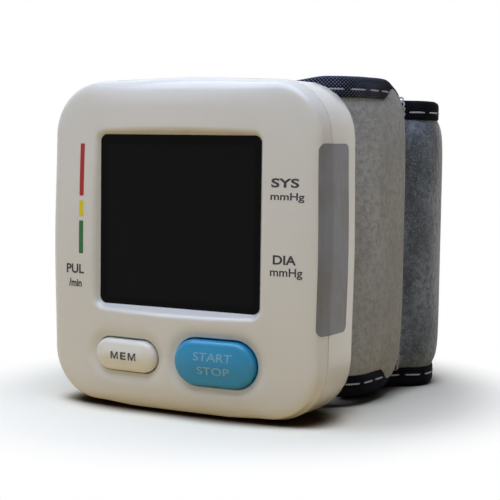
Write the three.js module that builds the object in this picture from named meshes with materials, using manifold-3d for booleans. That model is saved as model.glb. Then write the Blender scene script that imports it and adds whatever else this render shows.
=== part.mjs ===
// Wrist blood pressure monitor: a two-shell housing with its display, two buttons, cells, pump and
// valve, and a bound velour cuff behind it in three lengths: base, short flap and long strap.
// Millimetres, +X to the right of the reader, +Y away from the reader, +Z up. The origin is the
// middle of the housing's flat bottom, on which the monitor stands.
import * as THREE from "three";
import { mergeVertices } from "three/addons/utils/BufferGeometryUtils.js";
import Module from "manifold-3d";

// Clearances and the overrun of every cut
const fit = { slide: 0.35, seat: 0.3, thread: 0.15, door: 0.25, fabric: 0.35 };
const overrun = 4;

// Housing, seen from the front as a rounded square with bowed sides
const housing = {
  width: 69.6,
  height: 74.6,
  cornerRadius: 12.6,
  sideBow: 0.4,
  topBow: 0.6,
  footBow: 0.6,
  wall: 1.9,
  seamY: -4,
  frontDepth: 7.5,
  frontWallDepth: 3,
  frontDraft: 0.6,
  filletInset: 6,
  crownRadiusAcross: 230,
  crownRadiusUp: 420,
  rearDepth: 12.7,
  rearEdgeRound: 1.2,
  slopeInset: 4.5,
  slopeDepth: 4,
};
const housingSteps = { corner: 7, side: 4, fillet: 4, edge: 2 };
const faceShares = [0.74, 0.48, 0.22];
const footRampShare = 0.25;
const lip = { thickness: 0.8, forward: 1.1, back: 1.1 };

// Display window, its bevel and what lies behind it
const display = {
  width: 41.1,
  height: 38,
  centreZ: 43.2,
  cornerRadius: 1.7,
  bevel: 1.6,
  bevelOverrun: 1,
  lensFrontDepth: 4.7,
};
const lens = { thickness: 1.2, ledge: 1.2, cornerRadius: 2.4 };
const bezel = { wall: 1.6 };
const lcd = { thickness: 2, inset: 0.6, frameRim: 2.2, frameDepth: 2.7 };
const board = {
  thickness: 1.2,
  sideGap: 2.4,
  endGap: 3.6,
  cornerRadius: 12,
  bossGap: 1.2,
  behindFrame: 0.5,
};
const zebra = { width: 34, height: 2.2 };

// Buttons, each a crowned pill
const memButton = { name: "mem", centreX: -12.8, centreZ: 12.5, width: 16.9, height: 8, proud: 0.9 };
const startButton = { name: "start", centreX: 10.7, centreZ: 12.7, width: 20.1, height: 10.8, proud: 1.2 };
const button = {
  edgeRound: 1.1,
  crown: 0.35,
  flange: 0.9,
  flangeThickness: 0.9,
  stemLength: 0.5,
  stemRadius: 1.8,
};
const dish = { width: 2.3, depth: 0.55 };
const tact = {
  caseSize: 5.2,
  caseHeight: 1.3,
  plungerRadius: 1.3,
  plungerLength: 1.2,
  plungerProud: 0.9,
};

// Screws that hold the rear cover to the front cover
const boss = {
  lowInsetX: 9.3,
  lowInsetZ: 8.8,
  highInsetX: 11.7,
  highInsetZ: 7.6,
  frontRadius: 2.4,
  rearRadius: 3.2,
};
const screw = { shankRadius: 1, headRadius: 1.8, headHeight: 1.4, length: 12 };
const screwSlot = { width: 0.6, depth: 0.5 };
const counterbore = { depth: 6.5 };

// Two cells side by side in a tray, behind a door in the left wall, with depths below the housing's middle
const cell = { radius: 5.25, length: 44.5, nubRadius: 1.9, nubLength: 0.9, edgeRound: 0.5 };
const tray = { wall: 0.8, play: 0.2, floorDrop: 24.6, endRoom: 5.1, sideInset: 1.9, depth: 9.3 };
const contact = { thickness: 0.5, width: 8 };
const spring = { wireRadius: 0.3, lowRadius: 3, highRadius: 1.7, turns: 4, turnSteps: 8, height: 3.1 };
const door = { height: 48.7, lowDrop: 23.1, frontInset: 0.6, backInset: 2, reach: 6.6, cornerRadius: 2.5 };
const doorTab = { width: 3, thickness: 0.8, drop: 1.5, rise: 3, spread: 3.8 };
const doorRib = { length: 7, radius: 0.5, pitch: 1.8, count: 3, highInset: 7 };

// Air system, behind the board on the right, with heights above the middle of the housing
const air = { radius: 5, nippleLength: 3.5, nippleRadius: 0.9, cuffNippleRadius: 1.5 };
const motor = { length: 20, rise: 2.4, shaftRadius: 0.9, shaftLength: 1 };
const pumpHead = { height: 9, cornerRadius: 2 };
const valve = { length: 15, rise: -4.6, capRadius: 3, capLength: 1.5 };
const sensor = { size: 7.5, thickness: 4.4, rise: 2.4 };
const manifold = { size: 7, rise: -17.6, cornerRadius: 1 };
const hose = { radius: 1.7, bore: 1.2, step: 3.5, bend: 6, lead: 4 };

// Cuff bracket on the back of the housing
const bracket = {
  width: 46,
  height: 50,
  thickness: 1.6,
  cornerRadius: 7,
  screwSpread: 36,
  rim: 2.4,
  rimHeight: 0.9,
};
const bracketScrew = { shankRadius: 1.1, headRadius: 2.2, headHeight: 0.8, length: 4.6 };

// Cuff: widths over its bindings, and its layers as depths below the binding's outer face
const cuff = {
  halfWidth: 31.5,
  cornerRadius: 11.5,
  height: 74.2,
  footZ: 2.2,
  bindingWidth: 5,
  thickness: 4.1,
  edgeShrink: 0.2,
  bulge: 1.2,
  hingeGap: 0.35,
  layerInset: 2.4,
  middleDip: 1.4,
};
const layer = {
  velour: 0.6,
  bladder: 1,
  plate: 0.6,
  lining: 0.7,
  step: 0.3,
  hookPatch: 0.7,
};
const flap = {
  reach: 14.4,
  swell: 0.3,
  curlRadius: 9,
  curlTurn: 0.87,
  thickness: 2.9,
  upperRadius: 12,
  lowerRadius: 16,
  hookStart: 3,
  hookInset: 8,
};
const strap = { depth: 66, drop: 2.2, taper: 2.2, endRadius: 9, tuckX: 25.2, tuckLength: 16, tipY: 27.2 };
const baseSwellShares = { start: 0.75, end: 1 };
const baseDipShares = { start: 0.35, end: 0.62 };
const strapDropShares = { start: 0, end: 0.33 };
const strapFadeShares = { start: 0.83, end: 0.9, depth: 0.85 };
const strapPathShares = [
  [-1, 0],
  [-1.07, 0.26],
  [-1.04, 0.56],
  [-0.78, 0.86],
  [-0.15, 1],
  [0.5, 0.97],
  [0.91, 0.81],
  [1.08, 0.62],
  [1.05, 0.5],
  [0.9, 0.425],
];
const bindingSectionShares = [
  [-1, 0.12],
  [-0.86, 0],
  [0.6, 0],
  [0.9, 0.14],
  [1, 0.5],
  [0.9, 0.86],
  [0.6, 1],
  [-0.86, 1],
  [-1, 0.88],
];
const cuffSteps = { base: 20, flap: 8, strap: 30, corner: 4, face: 7 };

// Places worked out from the sizes above
const seamY = housing.seamY;
const frontY = seamY - housing.frontDepth;
const rearEdgeY = seamY + housing.rearDepth;
const backY = rearEdgeY + housing.slopeDepth;
const innerBackY = backY - housing.wall;
const centreZ = (housing.height + housing.footBow) / 2;
const lensFrontY = seamY - display.lensFrontDepth;
const lensBackY = lensFrontY + lens.thickness;
const frameBackY = lensBackY + lcd.frameDepth;
const boardFrontY = frameBackY + board.behindFrame;
const boardBackY = boardFrontY + board.thickness;
const trayFrontY = boardBackY + fit.seat;
const cellY = trayFrontY + tray.wall + tray.play + cell.radius;
const trayFloorZ = centreZ - tray.floorDrop;
const trayHighZ = trayFloorZ + cell.length + tray.endRoom;
const doorLowZ = centreZ - door.lowDrop;
const trayLeftX = tray.sideInset + housing.wall - housing.width / 2;
const outerCellX = trayLeftX + tray.play + cell.radius;
const innerCellX = outerCellX + 2 * cell.radius + 2 * tray.play;
const trayRightX = innerCellX + cell.radius + tray.play + tray.wall;
const screwHeadY = backY - counterbore.depth + screw.headHeight;
const airY = innerBackY - fit.seat - air.radius;
const airRoom = housing.width / 2 - housing.wall - trayRightX;
const airGap = (airRoom - sensor.size - 4 * air.radius) / 4;
const sensorX = trayRightX + airGap + sensor.size / 2;
const valveX = sensorX + sensor.size / 2 + airGap + air.radius;
const motorX = valveX + 2 * air.radius + airGap;
const sensorZ = centreZ + sensor.rise;
const valveZ = centreZ + valve.rise;
const motorZ = centreZ + motor.rise;
const manifoldZ = centreZ + manifold.rise;
const bracketBackY = backY + bracket.thickness;
const baseY = bracketBackY + bracket.rimHeight + fit.fabric;
const hingeY = baseY + cuff.cornerRadius;

const wasm = await Module();
wasm.setup();
const quarter = Math.PI / 2;

// Turns a closed geometry into a solid that can be joined and cut
function solidOf(geometry) {
  const bare = geometry.clone();
  bare.deleteAttribute("normal");
  bare.deleteAttribute("uv");
  const welded = mergeVertices(bare);
  const vertProperties = new Float32Array(welded.getAttribute("position").array);
  const triVerts = new Uint32Array(welded.index.array);
  return new wasm.Manifold(new wasm.Mesh({ numProp: 3, vertProperties, triVerts }));
}

// Turns a solid back into a geometry that a mesh can hold
function geometryOf(solid) {
  const { vertProperties, triVerts } = solid.getMesh();
  const geometry = new THREE.BufferGeometry();
  geometry.setAttribute("position", new THREE.BufferAttribute(vertProperties, 3));
  geometry.setIndex(new THREE.BufferAttribute(triVerts, 1));
  geometry.computeVertexNormals();
  return geometry;
}

// Closed skin through rings of points, each ring fanned shut at its own middle at the two ends
function skin(rings) {
  const count = rings[0].length;
  const points = rings.flat();
  const triangles = [];
  for (let level = 0; level + 1 < rings.length; level += 1) {
    for (let i = 0; i < count; i += 1) {
      const a = level * count + i;
      const b = level * count + ((i + 1) % count);
      triangles.push([a, b, b + count], [a, b + count, a + count]);
    }
  }
  const middleOf = (ring) => ring.reduce((sum, p) => sum.add(p), new THREE.Vector3()).divideScalar(count);
  const lastStart = (rings.length - 1) * count;
  points.push(middleOf(rings[0]), middleOf(rings[rings.length - 1]));
  for (let i = 0; i < count; i += 1) {
    const next = (i + 1) % count;
    triangles.push([next, i, points.length - 2]);
    triangles.push([lastStart + i, lastStart + next, points.length - 1]);
  }
  const volume = triangles.reduce((sum, [a, b, c]) => {
    return sum + points[a].dot(points[b].clone().cross(points[c]));
  }, 0);
  const facing = volume < 0 ? triangles.map(([a, b, c]) => [a, c, b]) : triangles;
  const geometry = new THREE.BufferGeometry().setFromPoints(points);
  geometry.setIndex(facing.flat());
  return geometry;
}

// Rounded rectangle around a centre
function roundedRect(centreX, centreY, width, height, radius) {
  const r = Math.min(radius, width / 2, height / 2);
  const spanX = width / 2 - r;
  const spanY = height / 2 - r;
  const shape = new THREE.Shape();
  shape.absarc(centreX + spanX, centreY + spanY, r, 0, quarter, false);
  shape.absarc(centreX - spanX, centreY + spanY, r, quarter, 2 * quarter, false);
  shape.absarc(centreX - spanX, centreY - spanY, r, 2 * quarter, 3 * quarter, false);
  shape.absarc(centreX + spanX, centreY - spanY, r, 3 * quarter, 4 * quarter, false);
  return shape;
}

// Shape drawn in X and Z, given depth along Y
function prismY(shape, startY, endY, curveSegments = 5) {
  const geometry = new THREE.ExtrudeGeometry(shape, {
    depth: endY - startY,
    bevelEnabled: false,
    curveSegments,
  });
  return geometry.rotateX(quarter).translate(0, endY, 0);
}

// Shape drawn in Y and Z, given depth along X
function prismX(shape, startX, endX, curveSegments = 5) {
  const geometry = new THREE.ExtrudeGeometry(shape, {
    depth: endX - startX,
    bevelEnabled: false,
    curveSegments,
  });
  return geometry.rotateX(quarter).rotateZ(quarter).translate(startX, 0, 0);
}

// Shape drawn in X and Y, given height along Z
function prismZ(shape, startZ, endZ, curveSegments = 5) {
  const geometry = new THREE.ExtrudeGeometry(shape, {
    depth: endZ - startZ,
    bevelEnabled: false,
    curveSegments,
  });
  return geometry.translate(0, 0, startZ);
}

// Round bars along Y and along Z
function barY(x, z, radius, startY, endY, sides = 12) {
  const bar = new THREE.CylinderGeometry(radius, radius, endY - startY, sides);
  return bar.translate(x, (startY + endY) / 2, z);
}

function barZ(x, y, radius, startZ, endZ, sides = 16) {
  const bar = new THREE.CylinderGeometry(radius, radius, endZ - startZ, sides);
  return bar.rotateX(quarter).translate(x, y, (startZ + endZ) / 2);
}

// Box between two corners
function boxBetween(low, high) {
  const size = high.map((value, i) => value - low[i]);
  const middle = high.map((value, i) => (value + low[i]) / 2);
  return new THREE.BoxGeometry(...size).translate(...middle);
}

// Named mesh with its finish
function piece(name, shape, finish) {
  const geometry = shape.isBufferGeometry ? shape : geometryOf(shape);
  const mesh = new THREE.Mesh(geometry, new THREE.MeshStandardMaterial(finish));
  mesh.name = name;
  return mesh;
}

const finishes = {
  ivory: { color: 0xe6e2d4, roughness: 0.3, metalness: 0 },
  blue: { color: 0x3fa2c6, roughness: 0.3, metalness: 0 },
  darkLens: { color: 0x0c0d10, roughness: 0.08, metalness: 0 },
  lcdGlass: { color: 0x3a3d3c, roughness: 0.2, metalness: 0 },
  darkPlastic: { color: 0x24262a, roughness: 0.6, metalness: 0 },
  board: { color: 0x1f5a35, roughness: 0.5, metalness: 0 },
  steel: { color: 0xb9bcc0, roughness: 0.3, metalness: 1 },
  cellJacket: { color: 0x55585e, roughness: 0.4, metalness: 0.6 },
  whitePlastic: { color: 0xd9d9d4, roughness: 0.5, metalness: 0 },
  silicone: { color: 0xcfd2d4, roughness: 0.6, metalness: 0 },
  velourLight: { color: 0x85827c, roughness: 0.95, metalness: 0 },
  velourDark: { color: 0x5b6066, roughness: 0.95, metalness: 0 },
  binding: { color: 0x17191f, roughness: 0.85, metalness: 0 },
  lining: { color: 0x2b2e34, roughness: 0.9, metalness: 0 },
  hook: { color: 0x1c1d20, roughness: 0.9, metalness: 0 },
  bladder: { color: 0x4a4d52, roughness: 0.7, metalness: 0 },
};

// Outline of the housing from the front, as [x, z] pairs, moved in by an inset
function outline(inset) {
  const halfWidth = housing.width / 2 - inset;
  const radius = housing.cornerRadius - inset;
  const highZ = housing.height - inset - radius;
  const lowZ = housing.footBow + inset + radius;
  const spanX = halfWidth - radius;
  const round = (share) => Math.sin(Math.PI * share) ** 2;
  const flat = (share) => THREE.MathUtils.smoothstep(Math.min(share, 1 - share), 0, footRampShare);
  const corners = [
    { x: spanX, z: highZ, bow: housing.topBow, out: [0, 1], profile: round },
    { x: -spanX, z: highZ, bow: housing.sideBow, out: [-1, 0], profile: round },
    { x: -spanX, z: lowZ, bow: housing.footBow, out: [0, -1], profile: flat },
    { x: spanX, z: lowZ, bow: housing.sideBow, out: [1, 0], profile: round },
  ];
  const onCorner = (index, step) => {
    const corner = corners[index % corners.length];
    const angle = quarter * (index + step / housingSteps.corner);
    return [corner.x + radius * Math.cos(angle), corner.z + radius * Math.sin(angle)];
  };
  const points = [];
  corners.forEach((corner, index) => {
    for (let step = 0; step <= housingSteps.corner; step += 1) {
      points.push(onCorner(index, step));
    }
    const from = onCorner(index, housingSteps.corner);
    const to = onCorner(index + 1, 0);
    for (let step = 1; step < housingSteps.side; step += 1) {
      const share = step / housingSteps.side;
      const bow = corner.bow * corner.profile(share);
      const x = from[0] + (to[0] - from[0]) * share + corner.out[0] * bow;
      const z = from[1] + (to[1] - from[1]) * share + corner.out[1] * bow;
      points.push([x, z]);
    }
  });
  return points;
}

// Crowned front face: the place in Y of its surface at x and z
function crownY(x, z) {
  const across = (x * x) / (2 * housing.crownRadiusAcross);
  const up = (z - centreZ) ** 2 / (2 * housing.crownRadiusUp);
  return frontY + across + up;
}

// Front half of the housing as a solid, moved in by a wall where it makes the hollow
function frontBody(inset, rimY) {
  const wallY = seamY - housing.frontWallDepth + inset;
  const faceInset = inset + housing.frontDraft + housing.filletInset;
  const faceRing = outline(faceInset).map(([x, z]) => new THREE.Vector3(x, crownY(x, z) + inset, z));
  const rims = rimY > seamY ? [rimY, seamY] : [seamY];
  const rings = rims.map((y) => outline(inset).map(([x, z]) => new THREE.Vector3(x, y, z)));
  for (let step = 0; step <= housingSteps.fillet; step += 1) {
    const angle = (quarter * step) / housingSteps.fillet;
    const ringInset = inset + housing.frontDraft + housing.filletInset * (1 - Math.cos(angle));
    const ring = outline(ringInset).map(([x, z], i) => {
      return new THREE.Vector3(x, wallY + (faceRing[i].y - wallY) * Math.sin(angle), z);
    });
    rings.push(ring);
  }
  for (const share of faceShares) {
    const ring = faceRing.map((point) => {
      const x = point.x * share;
      const z = centreZ + (point.z - centreZ) * share;
      return new THREE.Vector3(x, crownY(x, z) + inset, z);
    });
    rings.push(ring);
  }
  return solidOf(skin(rings));
}

// Rear half of the housing: straight wall, small round edge, slope and flat back
function rearBody(inset, rimY) {
  const slopeAngle = Math.atan2(housing.slopeDepth, housing.slopeInset);
  const edgeY = rearEdgeY - inset * Math.tan((quarter - slopeAngle) / 2);
  const round = housing.rearEdgeRound;
  const edge = new THREE.QuadraticBezierCurve(
    new THREE.Vector2(0, edgeY - round),
    new THREE.Vector2(0, edgeY),
    new THREE.Vector2(round * Math.cos(slopeAngle), edgeY + round * Math.sin(slopeAngle)),
  );
  const stations = edge.getPoints(housingSteps.edge).map((p) => [inset + p.x, p.y]);
  const rings = [[inset, rimY], ...stations, [inset + housing.slopeInset, backY - inset]];
  return solidOf(skin(rings.map(([at, y]) => outline(at).map(([x, z]) => new THREE.Vector3(x, y, z)))));
}

// Band that follows the housing's outline between two insets
function outlineBand(outerInset, innerInset, startY, endY) {
  const shape = new THREE.Shape(outline(outerInset).map(([x, z]) => new THREE.Vector2(x, z)));
  const hole = outline(innerInset).map(([x, z]) => new THREE.Vector2(x, z));
  shape.holes.push(new THREE.Path(hole.reverse()));
  return solidOf(prismY(shape, startY, endY));
}

// Where the four case screws go
const screwPlaces = [-1, 1].flatMap((side) => [
  { x: side * (housing.width / 2 - boss.lowInsetX), z: boss.lowInsetZ },
  { x: side * (housing.width / 2 - boss.highInsetX), z: housing.height - boss.highInsetZ },
]);

// Pill outline of a button, grown by an amount, as [x, z] pairs
function pillOutline(spec, grow) {
  const width = spec.width + 2 * grow;
  const height = spec.height + 2 * grow;
  const shape = roundedRect(spec.centreX, spec.centreZ, width, height, height);
  return shape.extractPoints(5).shape.map((p) => [p.x, p.y]);
}

// Cut for a button: a shallow dish in the crowned face, then the opening
function buttonCut(spec) {
  const stations = [
    [dish.width, -overrun],
    [dish.width, 0],
    [fit.slide, dish.depth],
    [fit.slide, overrun],
  ];
  const rings = stations.map(([grow, below]) => {
    return pillOutline(spec, grow).map(([x, z]) => new THREE.Vector3(x, crownY(x, z) + below, z));
  });
  return solidOf(skin(rings));
}

// Cut for the display window: a bevel that narrows to the lens
function windowCut() {
  const ringAt = (y) => {
    const grow = (display.bevel * (lensFrontY - y)) / (lensFrontY - frontY);
    const shape = roundedRect(
      0,
      display.centreZ,
      display.width + 2 * grow,
      display.height + 2 * grow,
      display.cornerRadius + grow,
    );
    return shape.extractPoints(5).shape.map((p) => new THREE.Vector3(p.x, y, p.y));
  };
  return solidOf(skin([ringAt(frontY - display.bevelOverrun), ringAt(lensFrontY + fit.seat)]));
}

function lensShape(grow) {
  const width = display.width + 2 * (lens.ledge + grow);
  const height = display.height + 2 * (lens.ledge + grow);
  return roundedRect(0, display.centreZ, width, height, lens.cornerRadius + grow);
}

function frontCover() {
  const outer = frontBody(0, seamY);
  const shell = outer.subtract(frontBody(housing.wall, seamY + overrun));
  const bezelBlock = solidOf(prismY(lensShape(fit.seat + bezel.wall), frontY, lensBackY));
  const pocket = solidOf(prismY(lensShape(fit.seat), lensFrontY, lensBackY + overrun));
  let cover = shell.add(outer.intersect(bezelBlock));
  for (const { x, z } of screwPlaces) {
    cover = cover.add(outer.intersect(solidOf(barY(x, z, boss.frontRadius, frontY, seamY))));
    const pilotRadius = screw.shankRadius + fit.thread;
    const pilotY = screwHeadY - screw.length - fit.seat;
    cover = cover.subtract(solidOf(barY(x, z, pilotRadius, pilotY, seamY + overrun)));
  }
  cover = cover.subtract(windowCut()).subtract(pocket);
  cover = cover.subtract(buttonCut(memButton)).subtract(buttonCut(startButton));
  return piece("front_cover", cover, finishes.ivory);
}

// Region of the left wall that the battery door takes, smaller by a gap for the door itself
function doorRegion(gap) {
  const startY = seamY + door.frontInset + gap;
  const endY = backY - door.backInset - gap;
  const height = door.height - 2 * gap;
  const middleZ = doorLowZ + door.height / 2;
  const shape = roundedRect((startY + endY) / 2, middleZ, endY - startY, height, door.cornerRadius - gap);
  const outerX = -housing.width / 2;
  return solidOf(prismX(shape, outerX - overrun, outerX + door.reach - gap));
}

// Clearance hole for the nipple that carries air into the cuff
function nippleHole(startY, endY) {
  return solidOf(barY(valveX, manifoldZ, air.cuffNippleRadius + fit.seat, startY, endY));
}

function rearShell() {
  return rearBody(0, seamY).subtract(rearBody(housing.wall, seamY - overrun));
}

function rearCover() {
  const outer = rearBody(0, seamY);
  let cover = rearShell();
  const lipInset = housing.wall + housing.frontDraft + fit.seat;
  const footInset = housing.wall - lip.thickness / 2;
  cover = cover.add(outlineBand(footInset, lipInset + lip.thickness, seamY, seamY + lip.back));
  cover = cover.add(outlineBand(lipInset, lipInset + lip.thickness, seamY - lip.forward, seamY + lip.back));
  for (const { x, z } of screwPlaces) {
    const bossStart = seamY + fit.seat;
    cover = cover.add(outer.intersect(solidOf(barY(x, z, boss.rearRadius, bossStart, backY))));
    const shankRadius = screw.shankRadius + fit.seat;
    cover = cover.subtract(solidOf(barY(x, z, shankRadius, seamY - overrun, backY + overrun)));
    const headRadius = screw.headRadius + fit.seat;
    cover = cover.subtract(solidOf(barY(x, z, headRadius, backY - counterbore.depth, backY + overrun)));
    cover = cover.subtract(solidOf(barY(x, z, boss.frontRadius + fit.seat, seamY - overrun, bossStart)));
  }
  cover = cover.subtract(doorRegion(0));
  for (const z of bracketScrewHeights()) {
    const radius = bracketScrew.shankRadius + fit.thread;
    cover = cover.subtract(solidOf(barY(0, z, radius, innerBackY - overrun, backY + overrun)));
  }
  cover = cover.subtract(nippleHole(innerBackY - overrun, backY + overrun));
  return piece("rear_cover", cover, finishes.ivory);
}

// Inner face of the left wall at a height, where the lower corner rounds in
function innerLeftX(z) {
  const radius = housing.cornerRadius - housing.wall;
  const below = Math.max(housing.cornerRadius - z, 0);
  return housing.cornerRadius - housing.width / 2 - Math.sqrt(radius ** 2 - below ** 2);
}

function batteryDoor() {
  let panel = rearShell().intersect(doorRegion(fit.door));
  const innerX = innerLeftX(doorLowZ - doorTab.drop);
  const middleY = (seamY + lip.back + rearEdgeY) / 2;
  for (const side of [-1, 1]) {
    const tabY = middleY + (side * doorTab.spread) / 2;
    const low = [innerX + fit.seat, tabY - doorTab.width / 2, doorLowZ - doorTab.drop];
    const high = [low[0] + doorTab.thickness, tabY + doorTab.width / 2, doorLowZ + doorTab.rise];
    const web = [innerX - housing.wall / 2, low[1], doorLowZ + fit.door];
    panel = panel.add(solidOf(boxBetween(low, high))).add(solidOf(boxBetween(web, high)));
  }
  const ribTopZ = doorLowZ + door.height - doorRib.highInset;
  for (let i = 0; i < doorRib.count; i += 1) {
    const rib = new THREE.CapsuleGeometry(doorRib.radius, doorRib.length, 3, 8);
    rib.translate(-housing.width / 2 - housing.sideBow / 2, middleY, ribTopZ - i * doorRib.pitch);
    panel = panel.add(solidOf(rib));
  }
  return piece("battery_door", panel, finishes.ivory);
}

function displayPieces() {
  const lensPiece = piece("display_lens", prismY(lensShape(0), lensFrontY, lensBackY), finishes.darkLens);
  const glassWidth = display.width - 2 * lcd.inset;
  const glassHeight = display.height - 2 * lcd.inset;
  const glassBackY = lensBackY + lcd.thickness;
  const rectAt = (grow) => {
    const width = glassWidth + 2 * grow;
    const height = glassHeight + 2 * grow;
    return roundedRect(0, display.centreZ, width, height, display.cornerRadius + grow);
  };
  const glass = piece("lcd_glass", prismY(rectAt(0), lensBackY, glassBackY), finishes.lcdGlass);
  const rim = solidOf(prismY(rectAt(lcd.frameRim), lensBackY, frameBackY));
  const hollow = solidOf(prismY(rectAt(fit.seat), lensBackY - overrun, frameBackY + overrun));
  const frame = piece("lcd_frame", rim.subtract(hollow), finishes.darkPlastic);
  const stripZ = display.centreZ - glassHeight / 2 + zebra.height;
  const stripLow = [-zebra.width / 2, glassBackY, stripZ];
  const strip = boxBetween(stripLow, [zebra.width / 2, boardFrontY, stripZ + zebra.height]);
  return [lensPiece, glass, frame, piece("zebra_strip", strip, finishes.silicone)];
}

function circuitBoard() {
  const width = housing.width - 2 * (housing.wall + board.sideGap);
  const height = housing.height - 2 * (housing.wall + board.endGap);
  const shape = roundedRect(0, centreZ, width, height, board.cornerRadius);
  let panel = solidOf(prismY(shape, boardFrontY, boardBackY));
  for (const { x, z } of screwPlaces) {
    const radius = boss.rearRadius + board.bossGap;
    panel = panel.subtract(solidOf(barY(x, z, radius, boardFrontY - overrun, boardBackY + overrun)));
  }
  return piece("circuit_board", panel, finishes.board);
}

// Button with its flange and stem, and the switch under it
function buttonPieces(spec, finish) {
  const switchTopY = boardFrontY - tact.caseHeight;
  const plungerTopY = switchTopY - tact.plungerProud;
  const flangeBackY = plungerTopY - button.stemLength;
  const flangeY = flangeBackY - button.flangeThickness;
  const topY = (x, z) => crownY(x, z) - spec.proud;
  const round = button.edgeRound;
  const rings = [pillOutline(spec, 0).map(([x, z]) => new THREE.Vector3(x, flangeY, z))];
  for (const angle of [0, quarter / 3, (2 * quarter) / 3, quarter]) {
    const grow = -round * (1 - Math.cos(angle));
    const below = round * (1 - Math.sin(angle));
    rings.push(pillOutline(spec, grow).map(([x, z]) => new THREE.Vector3(x, topY(x, z) + below, z)));
  }
  const innerGrow = -round - spec.height / 6;
  const crownPoint = ([x, z]) => new THREE.Vector3(x, topY(x, z) - button.crown, z);
  rings.push(pillOutline(spec, innerGrow).map(crownPoint));
  const cap = solidOf(skin(rings));
  const flangeWidth = spec.width + 2 * button.flange;
  const flangeHeight = spec.height + 2 * button.flange;
  const flangeShape = roundedRect(spec.centreX, spec.centreZ, flangeWidth, flangeHeight, flangeHeight);
  const room = frontBody(housing.wall + fit.slide, flangeBackY + overrun);
  const flange = solidOf(prismY(flangeShape, flangeY, flangeBackY)).intersect(room);
  const stem = solidOf(barY(spec.centreX, spec.centreZ, button.stemRadius, flangeY, plungerTopY));
  const caseHalf = tact.caseSize / 2;
  const caseLow = [spec.centreX - caseHalf, switchTopY, spec.centreZ - caseHalf];
  const caseHigh = [spec.centreX + caseHalf, boardFrontY, spec.centreZ + caseHalf];
  const boreRadius = tact.plungerRadius + fit.seat;
  const bore = barY(spec.centreX, spec.centreZ, boreRadius, switchTopY - overrun, boardFrontY + overrun);
  const switchCase = solidOf(boxBetween(caseLow, caseHigh)).subtract(solidOf(bore));
  const plungerEndY = plungerTopY + tact.plungerLength;
  const plunger = barY(spec.centreX, spec.centreZ, tact.plungerRadius, plungerTopY, plungerEndY);
  return [
    piece(`${spec.name}_button`, cap.add(flange).add(stem), finish),
    piece(`${spec.name}_switch_case`, switchCase, finishes.steel),
    piece(`${spec.name}_switch_plunger`, plunger, finishes.darkPlastic),
  ];
}

function slottedScrew(name, x, z, headBackY, sizes) {
  const headStartY = headBackY - sizes.headHeight;
  const head = solidOf(barY(x, z, sizes.headRadius, headStartY, headBackY));
  const shankEndY = headStartY + sizes.headHeight / 2;
  const shank = solidOf(barY(x, z, sizes.shankRadius, headBackY - sizes.length, shankEndY));
  const slotLow = [x - sizes.headRadius * 2, headBackY - screwSlot.depth, z - screwSlot.width / 2];
  const slotHigh = [x + sizes.headRadius * 2, headBackY + overrun, z + screwSlot.width / 2];
  return piece(name, head.add(shank).subtract(solidOf(boxBetween(slotLow, slotHigh))), finishes.steel);
}

function caseScrews() {
  return screwPlaces.map(({ x, z }, i) => slottedScrew(`case_screw_${i + 1}`, x, z, screwHeadY, screw));
}

function batteryTray() {
  const endY = trayFrontY + tray.depth;
  const outer = solidOf(
    boxBetween([trayLeftX, trayFrontY, trayFloorZ - tray.wall], [trayRightX, endY, trayHighZ + tray.wall]),
  );
  const hollow = solidOf(
    boxBetween(
      [trayLeftX - overrun, trayFrontY + tray.wall, trayFloorZ],
      [trayRightX - tray.wall, endY + overrun, trayHighZ],
    ),
  );
  return piece("battery_tray", outer.subtract(hollow), finishes.ivory);
}

// One cell as a turned body, its nub at the top or at the bottom
function batteryCell(name, x, lowZ, nubUp) {
  const bodyLength = cell.length - cell.nubLength;
  const inner = cell.radius - cell.edgeRound;
  const profile = [
    [0, 0],
    [inner, 0],
    [cell.radius, cell.edgeRound],
    [cell.radius, bodyLength - cell.edgeRound],
    [inner, bodyLength],
    [cell.nubRadius, bodyLength],
    [cell.nubRadius, cell.length],
    [0, cell.length],
  ].map(([r, h]) => new THREE.Vector2(r, h));
  const geometry = new THREE.LatheGeometry(profile, 20).rotateX(quarter);
  if (!nubUp) geometry.rotateX(2 * quarter).translate(0, 0, cell.length);
  return piece(name, geometry.translate(x, cellY, lowZ), finishes.cellJacket);
}

// Conical spring, wound upwards or downwards from its plate
function contactSpring(name, x, plateZ, up) {
  const points = [];
  const steps = spring.turns * spring.turnSteps;
  const sign = up ? 1 : -1;
  const rise = spring.height - 2 * spring.wireRadius;
  for (let i = 0; i <= steps; i += 1) {
    const share = i / steps;
    const angle = 2 * Math.PI * spring.turns * share;
    const radius = spring.lowRadius + (spring.highRadius - spring.lowRadius) * share;
    const z = plateZ + sign * (spring.wireRadius + fit.thread + rise * share);
    points.push(new THREE.Vector3(x + radius * Math.cos(angle), cellY + radius * Math.sin(angle), z));
  }
  const section = new THREE.Shape().absarc(0, 0, spring.wireRadius, 0, 2 * Math.PI, false);
  const wire = new THREE.ExtrudeGeometry(section, {
    steps,
    curveSegments: 3,
    extrudePath: new THREE.CatmullRomCurve3(points),
  });
  return piece(name, wire, finishes.steel);
}

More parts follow.
